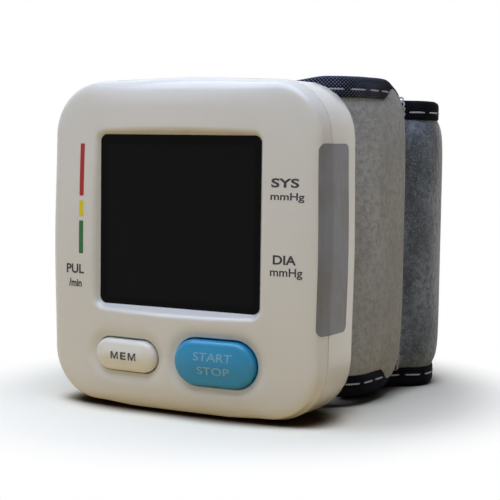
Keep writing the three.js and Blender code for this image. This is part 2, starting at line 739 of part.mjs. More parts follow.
function batteryPieces() {
  const lowPlateZ = trayFloorZ + contact.thickness;
  const highPlateZ = trayHighZ - contact.thickness;
  const plateHalf = contact.width / 2;
  const plate = (name, fromX, toX, fromZ) => {
    const low = [fromX - plateHalf, cellY - plateHalf, fromZ];
    const high = [toX + plateHalf, cellY + plateHalf, fromZ + contact.thickness];
    return piece(name, boxBetween(low, high), finishes.steel);
  };
  const outerCellZ = lowPlateZ + spring.height + fit.seat;
  const innerCellZ = highPlateZ - spring.height - fit.seat - cell.length;
  return [
    batteryTray(),
    batteryCell("battery_cell_outer", outerCellX, outerCellZ, true),
    batteryCell("battery_cell_inner", innerCellX, innerCellZ, false),
    plate("battery_contact_bridge", outerCellX, innerCellX, trayFloorZ),
    plate("battery_contact_plus", outerCellX, outerCellX, highPlateZ),
    plate("battery_contact_minus", innerCellX, innerCellX, highPlateZ),
    contactSpring("battery_spring_lower", outerCellX, lowPlateZ, true),
    contactSpring("battery_spring_upper", innerCellX, highPlateZ, false),
  ];
}

// Hollow hose along a route with straight ends
function airHose(name, points) {
  const section = new THREE.Shape().absarc(0, 0, hose.radius, 0, 2 * Math.PI, false);
  section.holes.push(new THREE.Path().absarc(0, 0, hose.bore, 0, 2 * Math.PI, true));
  const route = new THREE.CatmullRomCurve3(points.map((p) => new THREE.Vector3(...p)));
  const steps = Math.ceil(route.getLength() / hose.step);
  const geometry = new THREE.ExtrudeGeometry(section, { steps, curveSegments: 3, extrudePath: route });
  return piece(name, geometry, finishes.silicone);
}

// Thin spigot that a hose goes over, along Z
function spigotZ(x, y, startZ, endZ) {
  return solidOf(barZ(x, y, air.nippleRadius, startZ, endZ, 8));
}

function pumpPieces(outletX) {
  const topZ = motorZ + motor.length;
  const can = solidOf(barZ(motorX, airY, air.radius, motorZ, topZ, 20));
  const shaftLow = topZ - motor.shaftLength;
  const shaftEnd = barZ(motorX, airY, motor.shaftRadius, shaftLow, topZ + motor.shaftLength, 10);
  const headTopZ = motorZ - fit.seat;
  const headLowZ = headTopZ - pumpHead.height;
  const headShape = roundedRect(motorX, airY, 2 * air.radius, 2 * air.radius, pumpHead.cornerRadius);
  const head = solidOf(prismZ(headShape, headLowZ, headTopZ));
  const outlet = spigotZ(outletX, airY, headLowZ - air.nippleLength, headLowZ + air.nippleLength / 2);
  return [
    piece("pump_motor", can.add(solidOf(shaftEnd)), finishes.steel),
    piece("pump_head", head.add(outlet), finishes.whitePlastic),
  ];
}

function exhaustValve() {
  const topZ = valveZ + valve.length;
  const can = solidOf(barZ(valveX, airY, air.radius, valveZ, topZ, 20));
  const capLow = topZ - valve.capLength;
  const cap = solidOf(barZ(valveX, airY, valve.capRadius, capLow, topZ + valve.capLength));
  const inlet = spigotZ(valveX, airY, valveZ - air.nippleLength, valveZ + air.nippleLength / 2);
  return piece("exhaust_valve", can.add(cap).add(inlet), finishes.darkPlastic);
}

function pressureSensor(portY) {
  const half = sensor.size / 2;
  const low = [sensorX - half, boardBackY, sensorZ - half];
  const high = [sensorX + half, boardBackY + sensor.thickness, sensorZ + half];
  const port = spigotZ(sensorX, portY, low[2] - air.nippleLength, sensorZ);
  return piece("pressure_sensor", solidOf(boxBetween(low, high)).add(port), finishes.darkPlastic);
}

// Block that joins the pump, the valve, the sensor and the cuff, with a spigot for each
function airManifold(topZ) {
  const shape = roundedRect(valveX, manifoldZ, manifold.size, manifold.size, manifold.cornerRadius);
  const endY = airY + air.radius;
  const block = solidOf(prismY(shape, airY - air.radius, endY));
  const up = spigotZ(valveX, airY, topZ - air.nippleLength, topZ + air.nippleLength);
  const reach = manifold.size + 2 * air.nippleLength;
  const across = new THREE.CylinderGeometry(air.nippleRadius, air.nippleRadius, reach, 8);
  across.rotateZ(quarter).translate(valveX, airY, manifoldZ);
  const bladderFaceY = baseY + cuff.edgeShrink + layer.velour;
  const toCuff = barY(valveX, manifoldZ, air.cuffNippleRadius, airY, bladderFaceY);
  const body = block.add(up).add(solidOf(across)).add(solidOf(toCuff));
  return piece("air_manifold", body, finishes.whitePlastic);
}

function airPieces() {
  const lead = hose.lead;
  const outletX = motorX - air.radius / 2;
  const outletZ = motorZ - pumpHead.height - 2 * fit.seat;
  const portY = boardBackY + sensor.thickness / 2;
  const portZ = sensorZ - sensor.size / 2 - fit.seat;
  const topZ = manifoldZ + manifold.size / 2;
  const rightX = valveX + manifold.size / 2 + fit.seat;
  const leftX = valveX - manifold.size / 2 - fit.seat;
  const pumpRoute = [
    [outletX, airY, outletZ],
    [outletX, airY, outletZ - lead],
    [outletX - hose.bend / 4, airY, manifoldZ + hose.bend / 4],
    [rightX + lead, airY, manifoldZ],
    [rightX, airY, manifoldZ],
  ];
  const valveRoute = [
    [valveX, airY, topZ + fit.seat],
    [valveX, airY, (topZ + valveZ) / 2],
    [valveX, airY, valveZ - fit.seat],
  ];
  const sensorRoute = [
    [sensorX, portY, portZ],
    [sensorX, portY, portZ - lead],
    [sensorX, (portY + airY) / 2, manifoldZ + hose.bend],
    [sensorX + hose.bend / 4, airY, manifoldZ + hose.bend / 4],
    [leftX - lead, airY, manifoldZ],
    [leftX, airY, manifoldZ],
  ];
  return [
    ...pumpPieces(outletX),
    exhaustValve(),
    pressureSensor(portY),
    airManifold(topZ),
    airHose("pump_hose", pumpRoute),
    airHose("valve_hose", valveRoute),
    airHose("sensor_hose", sensorRoute),
  ];
}

function bracketScrewHeights() {
  return [-1, 1].map((side) => centreZ + (side * bracket.screwSpread) / 2);
}

// Plate between the housing and the cuff, with a raised rim and two countersunk screws
function bracketPieces() {
  const shape = roundedRect(0, centreZ, bracket.width, bracket.height, bracket.cornerRadius);
  const inner = roundedRect(
    0,
    centreZ,
    bracket.width - 2 * bracket.rim,
    bracket.height - 2 * bracket.rim,
    bracket.cornerRadius - bracket.rim,
  );
  let plate = solidOf(prismY(shape, backY, bracketBackY + bracket.rimHeight));
  plate = plate.subtract(solidOf(prismY(inner, bracketBackY, bracketBackY + overrun)));
  plate = plate.subtract(nippleHole(backY - overrun, bracketBackY + overrun));
  const screws = bracketScrewHeights().map((z, i) => {
    const shankRadius = bracketScrew.shankRadius + fit.thread;
    const headRadius = bracketScrew.headRadius + fit.thread;
    const headY = bracketBackY - bracketScrew.headHeight;
    plate = plate.subtract(solidOf(barY(0, z, shankRadius, backY - overrun, bracketBackY + overrun)));
    plate = plate.subtract(solidOf(barY(0, z, headRadius, headY, bracketBackY + overrun)));
    return slottedScrew(`bracket_screw_${i + 1}`, 0, z, bracketBackY, bracketScrew);
  });
  return [piece("cuff_bracket", plate, finishes.darkPlastic), ...screws];
}

// Plan curve of a stretch of the cuff, with the side on which its outer face lies
function basePath() {
  const straight = cuff.halfWidth - cuff.cornerRadius;
  const path = new THREE.CurvePath();
  const r = cuff.cornerRadius;
  path.add(new THREE.EllipseCurve(-straight, hingeY, r, r, 2 * quarter, 3 * quarter, false));
  path.add(new THREE.LineCurve(new THREE.Vector2(-straight, baseY), new THREE.Vector2(straight, baseY)));
  path.add(new THREE.EllipseCurve(straight, hingeY, r, r, 3 * quarter, 4 * quarter, false));
  return { curve: path, side: 1 };
}

function flapPath() {
  const startY = hingeY + cuff.hingeGap;
  const bendY = startY + flap.reach;
  const outerX = cuff.halfWidth + flap.swell;
  const points = [
    [cuff.halfWidth, startY],
    [outerX, (startY + bendY) / 2],
    [outerX, bendY],
  ];
  const path = new THREE.CurvePath();
  const r = flap.curlRadius;
  path.add(new THREE.SplineCurve(points.map((p) => new THREE.Vector2(...p))));
  path.add(new THREE.EllipseCurve(outerX - r, bendY, r, r, 0, flap.curlTurn, false));
  return { curve: path, side: 1 };
}

function strapPath() {
  const startY = hingeY + cuff.hingeGap;
  const reach = baseY + strap.depth - startY;
  const points = strapPathShares.map(([across, back]) => [across * cuff.halfWidth, startY + back * reach]);
  const tuckY = strap.tipY + strap.tuckLength;
  const tuckMiddleY = (tuckY + strap.tipY) / 2;
  points.push([strap.tuckX, tuckY], [strap.tuckX, tuckMiddleY], [strap.tuckX, strap.tipY]);
  return { curve: new THREE.SplineCurve(points.map((p) => new THREE.Vector2(...p))), side: -1 };
}

// Places a point of the flat cuff pattern: s along the path, n out of its face, z up
function onPath({ curve, side }, share, n, z) {
  const u = THREE.MathUtils.clamp(share, 0, 1);
  const point = curve.getPointAt(u);
  const tangent = curve.getTangentAt(u);
  return new THREE.Vector3(point.x + side * tangent.y * n, point.y - side * tangent.x * n, z);
}

// Smooth step from 0 to 1 between the start and the end of a range of shares
function ease(share, range) {
  return THREE.MathUtils.smoothstep(share, range.start, range.end);
}

// One length of the cuff: its path, its end, its heights and how its outer face swells
function cuffLength(path, options) {
  const length = path.curve.getLength();
  const plain = { roundEnd: false, thickness: cuff.thickness, level: (share, z) => z, swell: () => 1 };
  return { path, length, ...plain, ...options };
}

// How far a rounded corner takes the edge in, at a distance past the start of its round
function cornerShrink(past, radius) {
  return past > 0 ? radius - Math.sqrt(Math.max(radius ** 2 - past ** 2, 0)) : 0;
}

// Panel of one layer, between two depths, kept clear of the binding by an inset all round
function cuffPanel(part, { outerDepth, innerDepth, inset, bulge = 0, start = 0, faceSteps = 2 }) {
  const endInset = part.roundEnd ? inset : 0;
  const insideRadius = (radius) => (part.roundEnd ? Math.max(radius - inset, cuff.edgeShrink) : 0);
  const upperRadius = insideRadius(part.upperRadius);
  const lowerRadius = insideRadius(part.lowerRadius);
  const radius = Math.max(upperRadius, lowerRadius);
  const end = part.length - endInset;
  const stations = [];
  for (let i = 0; i <= part.steps; i += 1) {
    stations.push(start + ((end - radius - start) * i) / part.steps);
  }
  for (let i = 1; part.roundEnd && i <= cuffSteps.corner; i += 1) {
    stations.push(end - radius + radius * Math.sin((quarter * i) / cuffSteps.corner));
  }
  const rings = stations.map((s) => {
    const share = s / part.length;
    const low = cuff.footZ + inset + cornerShrink(s - end + lowerRadius, lowerRadius);
    const high = cuff.footZ + cuff.height - inset - cornerShrink(s - end + upperRadius, upperRadius);
    const place = (n, z) => onPath(part.path, share, n, part.level(share, z));
    const ring = [];
    for (let k = 0; k <= faceSteps; k += 1) {
      const t = k / faceSteps;
      const lift = bulge * part.swell(share) * (1 - Math.abs(2 * t - 1) ** 4);
      ring.push(place(lift - outerDepth, low + (high - low) * t));
    }
    ring.push(place(-innerDepth, high), place(-innerDepth, low));
    return ring;
  });
  return skin(rings);
}

// Stations along the upper edge of a length and round its corner, where it has one, each with the
// direction out of the pattern as an angle
function edgeRoute(part, radius = 0) {
  const half = cuff.bindingWidth / 2;
  const highZ = cuff.footZ + cuff.height;
  const run = part.length - radius;
  const stations = [];
  for (let i = 0; i <= part.steps; i += 1) {
    stations.push({ s: (run * i) / part.steps, z: highZ - half, angle: quarter });
  }
  const arc = radius - half;
  for (let i = 1; radius > 0 && i <= cuffSteps.corner; i += 1) {
    const angle = quarter * (1 - i / cuffSteps.corner);
    stations.push({ s: run + arc * Math.cos(angle), z: highZ - radius + arc * Math.sin(angle), angle });
  }
  return stations;
}

// Binding tape swept along stations of the pattern
function bindingAlong(part, stations) {
  const half = cuff.bindingWidth / 2;
  const rings = stations.map(({ s, z, angle }) => {
    return bindingSectionShares.map(([across, depth]) => {
      const alongS = s + across * half * Math.cos(angle);
      const share = alongS / part.length;
      const height = part.level(share, z + across * half * Math.sin(angle));
      return onPath(part.path, share, -depth * part.thickness, height);
    });
  });
  return skin(rings);
}

// Same station on the lower edge
function mirrored(station) {
  const middleZ = cuff.footZ + cuff.height / 2;
  return { s: station.s, z: 2 * middleZ - station.z, angle: -station.angle };
}

// Tape that runs along the upper edge, round the end and back along the lower edge
function bindingRound(part) {
  const top = edgeRoute(part, part.upperRadius);
  const bottom = edgeRoute(part, part.lowerRadius).map(mirrored).reverse();
  return bindingAlong(part, [...top, ...bottom]);
}

// Layers of the cuff from outside to inside, as depths below the binding's face
const velourDepth = cuff.edgeShrink + layer.velour;
const bladderDepth = velourDepth + layer.step;
const plateDepth = bladderDepth + layer.bladder + layer.step;
const liningDepth = plateDepth + layer.plate + layer.step;
const flapPlateDepth = velourDepth + layer.step;
const flapLiningDepth = flapPlateDepth + layer.plate + layer.step;
const fabricInset = cuff.bindingWidth + fit.fabric;
const innerInset = cuff.bindingWidth + cuff.layerInset;

function velourPanel(part) {
  return cuffPanel(part, {
    outerDepth: cuff.edgeShrink,
    innerDepth: velourDepth,
    inset: fabricInset,
    bulge: cuff.bulge,
    faceSteps: cuffSteps.face,
  });
}

function basePieces() {
  const part = cuffLength(basePath(), {
    steps: cuffSteps.base,
    swell: (share) => ease(Math.abs(2 * share - 1), baseSwellShares),
    level: (share, z) => {
      const dip = cuff.middleDip * (1 - ease(Math.abs(2 * share - 1), baseDipShares));
      return z - (dip * (z - cuff.footZ)) / cuff.height;
    },
  });
  const hole = nippleHole(backY, baseY + velourDepth + fit.thread);
  const velour = solidOf(velourPanel(part)).subtract(hole);
  const bladder = cuffPanel(part, {
    outerDepth: bladderDepth,
    innerDepth: bladderDepth + layer.bladder,
    inset: innerInset,
  });
  const plate = cuffPanel(part, {
    outerDepth: plateDepth,
    innerDepth: plateDepth + layer.plate,
    inset: innerInset,
  });
  const lining = cuffPanel(part, {
    outerDepth: liningDepth,
    innerDepth: liningDepth + layer.lining,
    inset: fabricInset,
  });
  const upper = edgeRoute(part);
  return [
    piece("base_velour", velour, finishes.velourLight),
    piece("base_bladder", bladder, finishes.bladder),
    piece("base_curl_plate", plate, finishes.whitePlastic),
    piece("base_lining", lining, finishes.lining),
    piece("base_binding_upper", bindingAlong(part, upper), finishes.binding),
    piece("base_binding_lower", bindingAlong(part, upper.map(mirrored)), finishes.binding),
  ];
}

function flapPieces() {
  const part = cuffLength(flapPath(), {
    steps: cuffSteps.flap,
    roundEnd: true,
    upperRadius: flap.upperRadius,
    lowerRadius: flap.lowerRadius,
    thickness: flap.thickness,
  });
  const plate = cuffPanel(part, {
    outerDepth: flapPlateDepth,
    innerDepth: flapPlateDepth + layer.plate,
    inset: innerInset,
  });
  const lining = cuffPanel(part, {
    outerDepth: flapLiningDepth,
    innerDepth: flap.thickness,
    inset: fabricInset,
  });
  const hook = cuffPanel(part, {
    outerDepth: flap.thickness + layer.step,
    innerDepth: flap.thickness + layer.step + layer.hookPatch,
    inset: flap.hookInset,
    start: flap.hookStart,
  });
  return [
    piece("flap_velour", velourPanel(part), finishes.velourLight),
    piece("flap_stiffener", plate, finishes.whitePlastic),
    piece("flap_lining", lining, finishes.lining),
    piece("flap_hook_patch", hook, finishes.hook),
    piece("flap_binding", bindingRound(part), finishes.binding),
  ];
}

function strapPieces() {
  const part = cuffLength(strapPath(), {
    steps: cuffSteps.strap,
    roundEnd: true,
    upperRadius: strap.endRadius,
    lowerRadius: strap.endRadius,
    level: (share, z) => {
      const settled = ease(share, strapDropShares);
      return z - settled * (strap.drop + (strap.taper * (z - cuff.footZ)) / cuff.height);
    },
    swell: (share) => 1 - strapFadeShares.depth * ease(share, strapFadeShares),
  });
  const bladder = cuffPanel(part, {
    outerDepth: bladderDepth,
    innerDepth: bladderDepth + layer.bladder,
    inset: innerInset,
  });
  const plate = cuffPanel(part, {
    outerDepth: plateDepth,
    innerDepth: plateDepth + layer.plate,
    inset: innerInset,
  });
  const lining = cuffPanel(part, {
    outerDepth: liningDepth,
    innerDepth: liningDepth + layer.lining,
    inset: fabricInset,
  });
  return [
    piece("strap_velour", velourPanel(part), finishes.velourDark),
    piece("strap_bladder", bladder, finishes.bladder),
    piece("strap_curl_plate", plate, finishes.whitePlastic),
    piece("strap_lining", lining, finishes.lining),
    piece("strap_binding", bindingRound(part), finishes.binding),
  ];
}

const monitor = new THREE.Group();
monitor.add(
  frontCover(),
  rearCover(),
  batteryDoor(),
  ...displayPieces(),
  circuitBoard(),
  ...buttonPieces(memButton, finishes.ivory),
  ...buttonPieces(startButton, finishes.blue),
  ...caseScrews(),
  ...batteryPieces(),
  ...airPieces(),
  ...bracketPieces(),
  ...basePieces(),
  ...flapPieces(),
  ...strapPieces(),
);

export default monitor;
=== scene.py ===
"""Wrist blood pressure monitor: moulded housing, soft cuff, finishes and studio round the CAD frame.

Sizes are millimetres in the frame of the CAD part and become metres where a mesh is made. X runs
across the face, Y from the face back to the cuff, and Z up.
"""

import sys
import logging
import math
from abc import ABC, abstractmethod
from collections import Counter
from dataclasses import dataclass
from enum import Enum
from typing import Callable, ClassVar, Iterable, Sequence

import bmesh
import bpy
import numpy as np
from mathutils import Matrix, Vector
from mathutils.geometry import delaunay_2d_cdt


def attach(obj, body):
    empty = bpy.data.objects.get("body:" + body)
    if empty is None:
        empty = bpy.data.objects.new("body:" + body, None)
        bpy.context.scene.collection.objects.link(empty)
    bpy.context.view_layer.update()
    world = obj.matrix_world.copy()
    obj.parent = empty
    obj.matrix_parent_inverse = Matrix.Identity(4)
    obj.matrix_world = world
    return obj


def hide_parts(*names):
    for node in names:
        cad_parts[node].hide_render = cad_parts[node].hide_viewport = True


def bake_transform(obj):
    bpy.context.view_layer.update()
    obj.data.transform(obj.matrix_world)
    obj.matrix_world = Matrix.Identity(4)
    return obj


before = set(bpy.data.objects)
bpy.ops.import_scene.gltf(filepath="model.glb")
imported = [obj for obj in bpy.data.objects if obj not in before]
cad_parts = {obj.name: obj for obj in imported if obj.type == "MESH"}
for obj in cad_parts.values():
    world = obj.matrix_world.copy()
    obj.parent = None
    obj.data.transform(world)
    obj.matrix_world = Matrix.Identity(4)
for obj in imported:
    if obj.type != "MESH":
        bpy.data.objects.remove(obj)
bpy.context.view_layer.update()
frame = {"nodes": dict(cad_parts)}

log = logging.getLogger("monitor")

MM = 0.001
QUARTER = math.pi / 2
Colour = tuple[float, float, float]
Faces = list[tuple[int, ...]]
Piece = bpy.types.Object
Socket = bpy.types.NodeSocket


# ---------------------------------------------------------------- numbers


def smooth(value: np.ndarray | float, low: float = 0.0, high: float = 1.0) -> np.ndarray:
    """Smooth step from 0 at low to 1 at high."""
    t = np.clip((np.asarray(value, float) - low) / (high - low), 0, 1)
    return t * t * (3 - 2 * t)


def linear(colour: Colour) -> tuple[float, float, float, float]:
    """Colour written as 0 to 255 values, as linear light with full alpha.

    Args:
        colour: Red, green and blue.

    Returns:
        Red, green, blue and alpha from 0 to 1.
    """
    parts = [c / 255 for c in colour]
    parts = [c / 12.92 if c <= 0.04045 else ((c + 0.055) / 1.055) ** 2.4 for c in parts]
    return (*parts, 1.0)


def stand(flat: np.ndarray, y: np.ndarray | float) -> np.ndarray:
    """Points in space for rows of x and z, at a Y of their own or all at one."""
    return np.column_stack([flat[:, 0], np.broadcast_to(y, len(flat)), flat[:, 1]])


def flat_of(points: np.ndarray) -> np.ndarray:
    """Rows of x and z of points in space."""
    return points[:, ::2]


def lengths(points: np.ndarray) -> np.ndarray:
    """Length run so far at each of a row of points."""
    return np.concatenate([[0], np.cumsum(np.linalg.norm(np.diff(points, axis=0), axis=1))])


def pairs(ring: Sequence[int]) -> Iterable[tuple[int, int]]:
    """Neighbours round a closed ring."""
    return zip(ring, [*ring[1:], ring[0]])


def inside(points: np.ndarray, loop: np.ndarray) -> np.ndarray:
    """Tells which 2-D points lie inside a closed loop.

    Args:
        points: Rows of two coordinates.
        loop: Corners of the loop.

    Returns:
        True for each point inside.
    """
    a, b = loop, np.roll(loop, -1, axis=0)
    px, py = points[:, 0:1], points[:, 1:2]
    cross = (a[:, 1] > py) != (b[:, 1] > py)
    rise = np.where(b[:, 1] == a[:, 1], 1e-12, b[:, 1] - a[:, 1])
    at = a[:, 0] + (py - a[:, 1]) * (b[:, 0] - a[:, 0]) / rise
    return (np.sum(cross & (px < at), axis=1) % 2) == 1


def rounded_rect(
    centre: tuple[float, float], width: float, height: float, radius: float, steps: int = 10, side: int = 1
) -> tuple[np.ndarray, np.ndarray]:
    """Rounded rectangle, anticlockwise from its right side.

    Args:
        centre: Middle of the rectangle.
        width: Full width.
        height: Full height.
        radius: Corner radius.
        steps: Steps in each corner.
        side: Steps along each straight side.

    Returns:
        The points, and at each the direction out of the shape.
    """
    reach = np.array([width / 2 - radius, height / 2 - radius])
    middles = [centre + reach * turn for turn in ((1, 1), (-1, 1), (-1, -1), (1, -1))]
    points, outs = [], []
    for index, middle in enumerate(middles):
        for step in range(steps + 1):
            angle = QUARTER * (index + step / steps)
            out = np.array([math.cos(angle), math.sin(angle)])
            points.append(middle + radius * out)
            outs.append(out)
        follow = middles[(index + 1) % 4] - middle
        for step in range(1, side):
            points.append(middle + radius * out + follow * step / side)
            outs.append(out)
    return np.array(points), np.array(outs)


def arc(centre: tuple[float, float], radius: float, start: float, end: float, steps: int) -> np.ndarray:
    """Points of an arc between two angles."""
    angles = np.linspace(start, end, steps + 1)
    return np.column_stack([centre[0] + radius * np.cos(angles), centre[1] + radius * np.sin(angles)])


def spline(controls: Sequence[tuple[float, float]], steps: int = 14) -> np.ndarray:
    """Smooth curve through control points, as the CAD draws it.

    Args:
        controls: Points that the curve passes through.
        steps: Steps between two of them.

    Returns:
        Rows of x and y.
    """
    c = np.array(controls, float)
    points = []
    for i in range(len(c) - 1):
        p0, p1, p2, p3 = c[max(i - 1, 0)], c[i], c[i + 1], c[min(i + 2, len(c) - 1)]
        v0, v1 = (p2 - p0) / 2, (p3 - p1) / 2
        cubic, square = 2 * p1 - 2 * p2 + v0 + v1, -3 * p1 + 3 * p2 - 2 * v0 - v1
        points.extend(cubic * t**3 + square * t**2 + v0 * t + p1 for t in np.arange(steps) / steps)
    return np.array([*points, c[-1]])


# ---------------------------------------------------------------- meshes


class Shape:
    """Points and faces of one piece, in millimetres, gathered strip by strip."""

    def __init__(self) -> None:
        """Starts with no points."""
        self.points: list[np.ndarray] = []
        self.faces: Faces = []
        self.marks: list[np.ndarray] = []

    def add(
        self, points: np.ndarray, faces: Iterable[Sequence[int]], marks: np.ndarray | None = None
    ) -> None:
        """Adds points and the faces between them.

        Args:
            points: Rows of x, y and z.
            faces: Indices into those rows.
            marks: Pattern place of each point, such as along and across a tape.
        """
        base = len(self.points)
        self.points.extend(np.asarray(points, float))
        self.marks.extend(np.zeros((len(points), 2)) if marks is None else marks)
        self.faces.extend(tuple(base + i for i in face) for face in faces)

    def skin(
        self, rings: Sequence[np.ndarray], capped: bool = False, marks: np.ndarray | None = None
    ) -> None:
        """Joins closed rings of points, each to the next.

        Args:
            rings: Rings with the same number of points.
            capped: Whether the first and the last ring are filled.
            marks: Pattern places, one for each point.
        """
        count, last = len(rings[0]), len(rings) - 1
        faces = [
            (r * count + i, r * count + j, (r + 1) * count + j, (r + 1) * count + i)
            for r in range(last)
            for i, j in pairs(range(count))
        ]
        if capped:
            faces.append(tuple(range(count))[::-1])
            faces.append(tuple(range(last * count, (last + 1) * count)))
        self.add(np.concatenate(rings), faces, marks)

    def slab(
        self,
        front: np.ndarray,
        back: np.ndarray,
        faces: Faces,
        rim: Sequence[int] = (),
        marks: np.ndarray | None = None,
    ) -> None:
        """Closes the space between two surfaces that have the same faces.

        Args:
            front: Points of the one surface.
            back: Points of the other.
            faces: Faces of the front.
            rim: Points round the border of the front, if they are known.
            marks: Pattern place of each point of the front.
        """
        count = len(front)
        used = Counter(tuple(sorted(pair)) for face in faces for pair in pairs(face))
        border = pairs(rim) if rim else [pair for pair, times in used.items() if times == 1]
        walls = [(a, b, b + count, a + count) for a, b in border]
        behind = [tuple(i + count for i in face[::-1]) for face in faces]
        both = None if marks is None else np.tile(marks, (2, 1))
        self.add(np.concatenate([front, back]), [*faces, *behind, *walls], both)

    def patch(
        self,
        outline: np.ndarray,
        spacing: float,
        lift: Callable[[np.ndarray], np.ndarray],
        holes: Sequence[np.ndarray] = (),
        guides: Sequence[np.ndarray] = (),
        rows: Sequence[np.ndarray] = (),
    ) -> None:
        """Fills a flat outline with an even mesh and lifts it onto a surface.

        Args:
            outline: The closed outline.
            spacing: Distance between the points inside.
            lift: Turns flat points into points of the surface.
            holes: Closed loops that are left open.
            guides: Closed loops that the mesh follows.
            rows: Rows of points that the mesh passes through where they are clear of the loops.
        """
        row_gap, grid_gap = 0.25 * spacing, 0.55 * spacing
        fixed = [outline, *holes, *guides]
        low, high = outline.min(axis=0), outline.max(axis=0)
        steps = [np.arange(low[k] + spacing / 2, high[k], spacing) for k in (0, 1)]
        grid = np.stack(np.meshgrid(*steps), axis=-1).reshape(-1, 2)

        def covered(points: np.ndarray) -> np.ndarray:
            """Tells which points lie in the outline and in no hole.

            Args:
                points: Rows of two coordinates.

            Returns:
                True for each point that does.
            """
            kept = inside(points, outline)
            for hole in holes:
                kept = kept & ~inside(points, hole)
            return kept

        border, kept = np.concatenate(fixed), []
        for points, gap in [*((row, row_gap) for row in rows), (grid, grid_gap)]:
            points = points[covered(points)]
            near = np.min(np.linalg.norm(points[:, None] - border[None], axis=2), axis=1)
            kept.append(points[near > gap])
            border = np.concatenate([border, kept[-1]])
        edges, base = [], 0
        for loop in fixed:
            edges.extend(pairs(range(base, base + len(loop))))
            base += len(loop)
        made = delaunay_2d_cdt([Vector(p) for p in np.concatenate([*fixed, *kept])], edges, [], 0, 1e-6)
        points = np.array([tuple(p) for p in made[0]])
        faces = np.array([tuple(f) for f in made[2]])
        self.add(lift(points), faces[covered(points[faces].mean(axis=1))], points)

    def plate(
        self,
        outline: np.ndarray,
        spacing: float,
        surface: Callable[[np.ndarray, float], np.ndarray],
        proud: float,
        sunk: float,
    ) -> None:
        """Lays a thin closed plate on a surface.

        Args:
            outline: The plate's flat outline.
            spacing: Distance between the points inside.
            surface: Points for flat points and the distance that they stand proud.
            proud: Distance of its face out of the surface.
            sunk: Distance of its back in it.
        """
        for out in (proud, -sunk):
            self.patch(outline, spacing, lambda flat, out=out: surface(flat, out))
        self.skin([surface(outline, proud), surface(outline, -sunk)])

    def build(self, name: str, weld: float = 2e-3, sharp: float = 50.0, outward: bool = True) -> Piece:
        """Makes the Blender object.

        Args:
            name: Name of the piece.
            weld: Points closer than this are joined.
            sharp: Edges sharper than this many degrees stay sharp.
            outward: Whether the faces are turned outwards.

        Returns:
            The object, in metres.
        """
        made = bmesh.new()
        pattern = made.loops.layers.uv.new("pattern")
        verts = [made.verts.new(Vector(p) * MM) for p in self.points]
        made.verts.index_update()
        for face in self.faces:
            if len(set(face)) > 2:
                made.faces.new([verts[i] for i in face])
        for face in made.faces:
            for loop in face.loops:
                loop[pattern].uv = Vector(self.marks[loop.vert.index])
        bmesh.ops.remove_doubles(made, verts=made.verts, dist=weld * MM)
        bmesh.ops.dissolve_degenerate(made, edges=made.edges, dist=weld * MM / 10)
        if outward:
            bmesh.ops.recalc_face_normals(made, faces=made.faces)
        mesh = bpy.data.meshes.new(name)
        made.to_mesh(mesh)
        made.free()
        mesh.shade_smooth()
        mesh.set_sharp_from_angle(angle=math.radians(sharp))
        return linked(name, mesh)


def linked(name: str, data: bpy.types.ID) -> Piece:
    """New object in the scene for a mesh, curve, lamp or camera.

    Args:
        name: Its name.
        data: What it shows.

    Returns:
        The object.
    """
    obj = bpy.data.objects.new(name, data)
    bpy.context.scene.collection.objects.link(obj)
    return obj


def evaluated_mesh(obj: Piece) -> bpy.types.Mesh:
    """New mesh of an object as it is shown, with its modifiers."""
    return bpy.data.meshes.new_from_object(obj.evaluated_get(bpy.context.evaluated_depsgraph_get()))


# ---------------------------------------------------------------- finishes


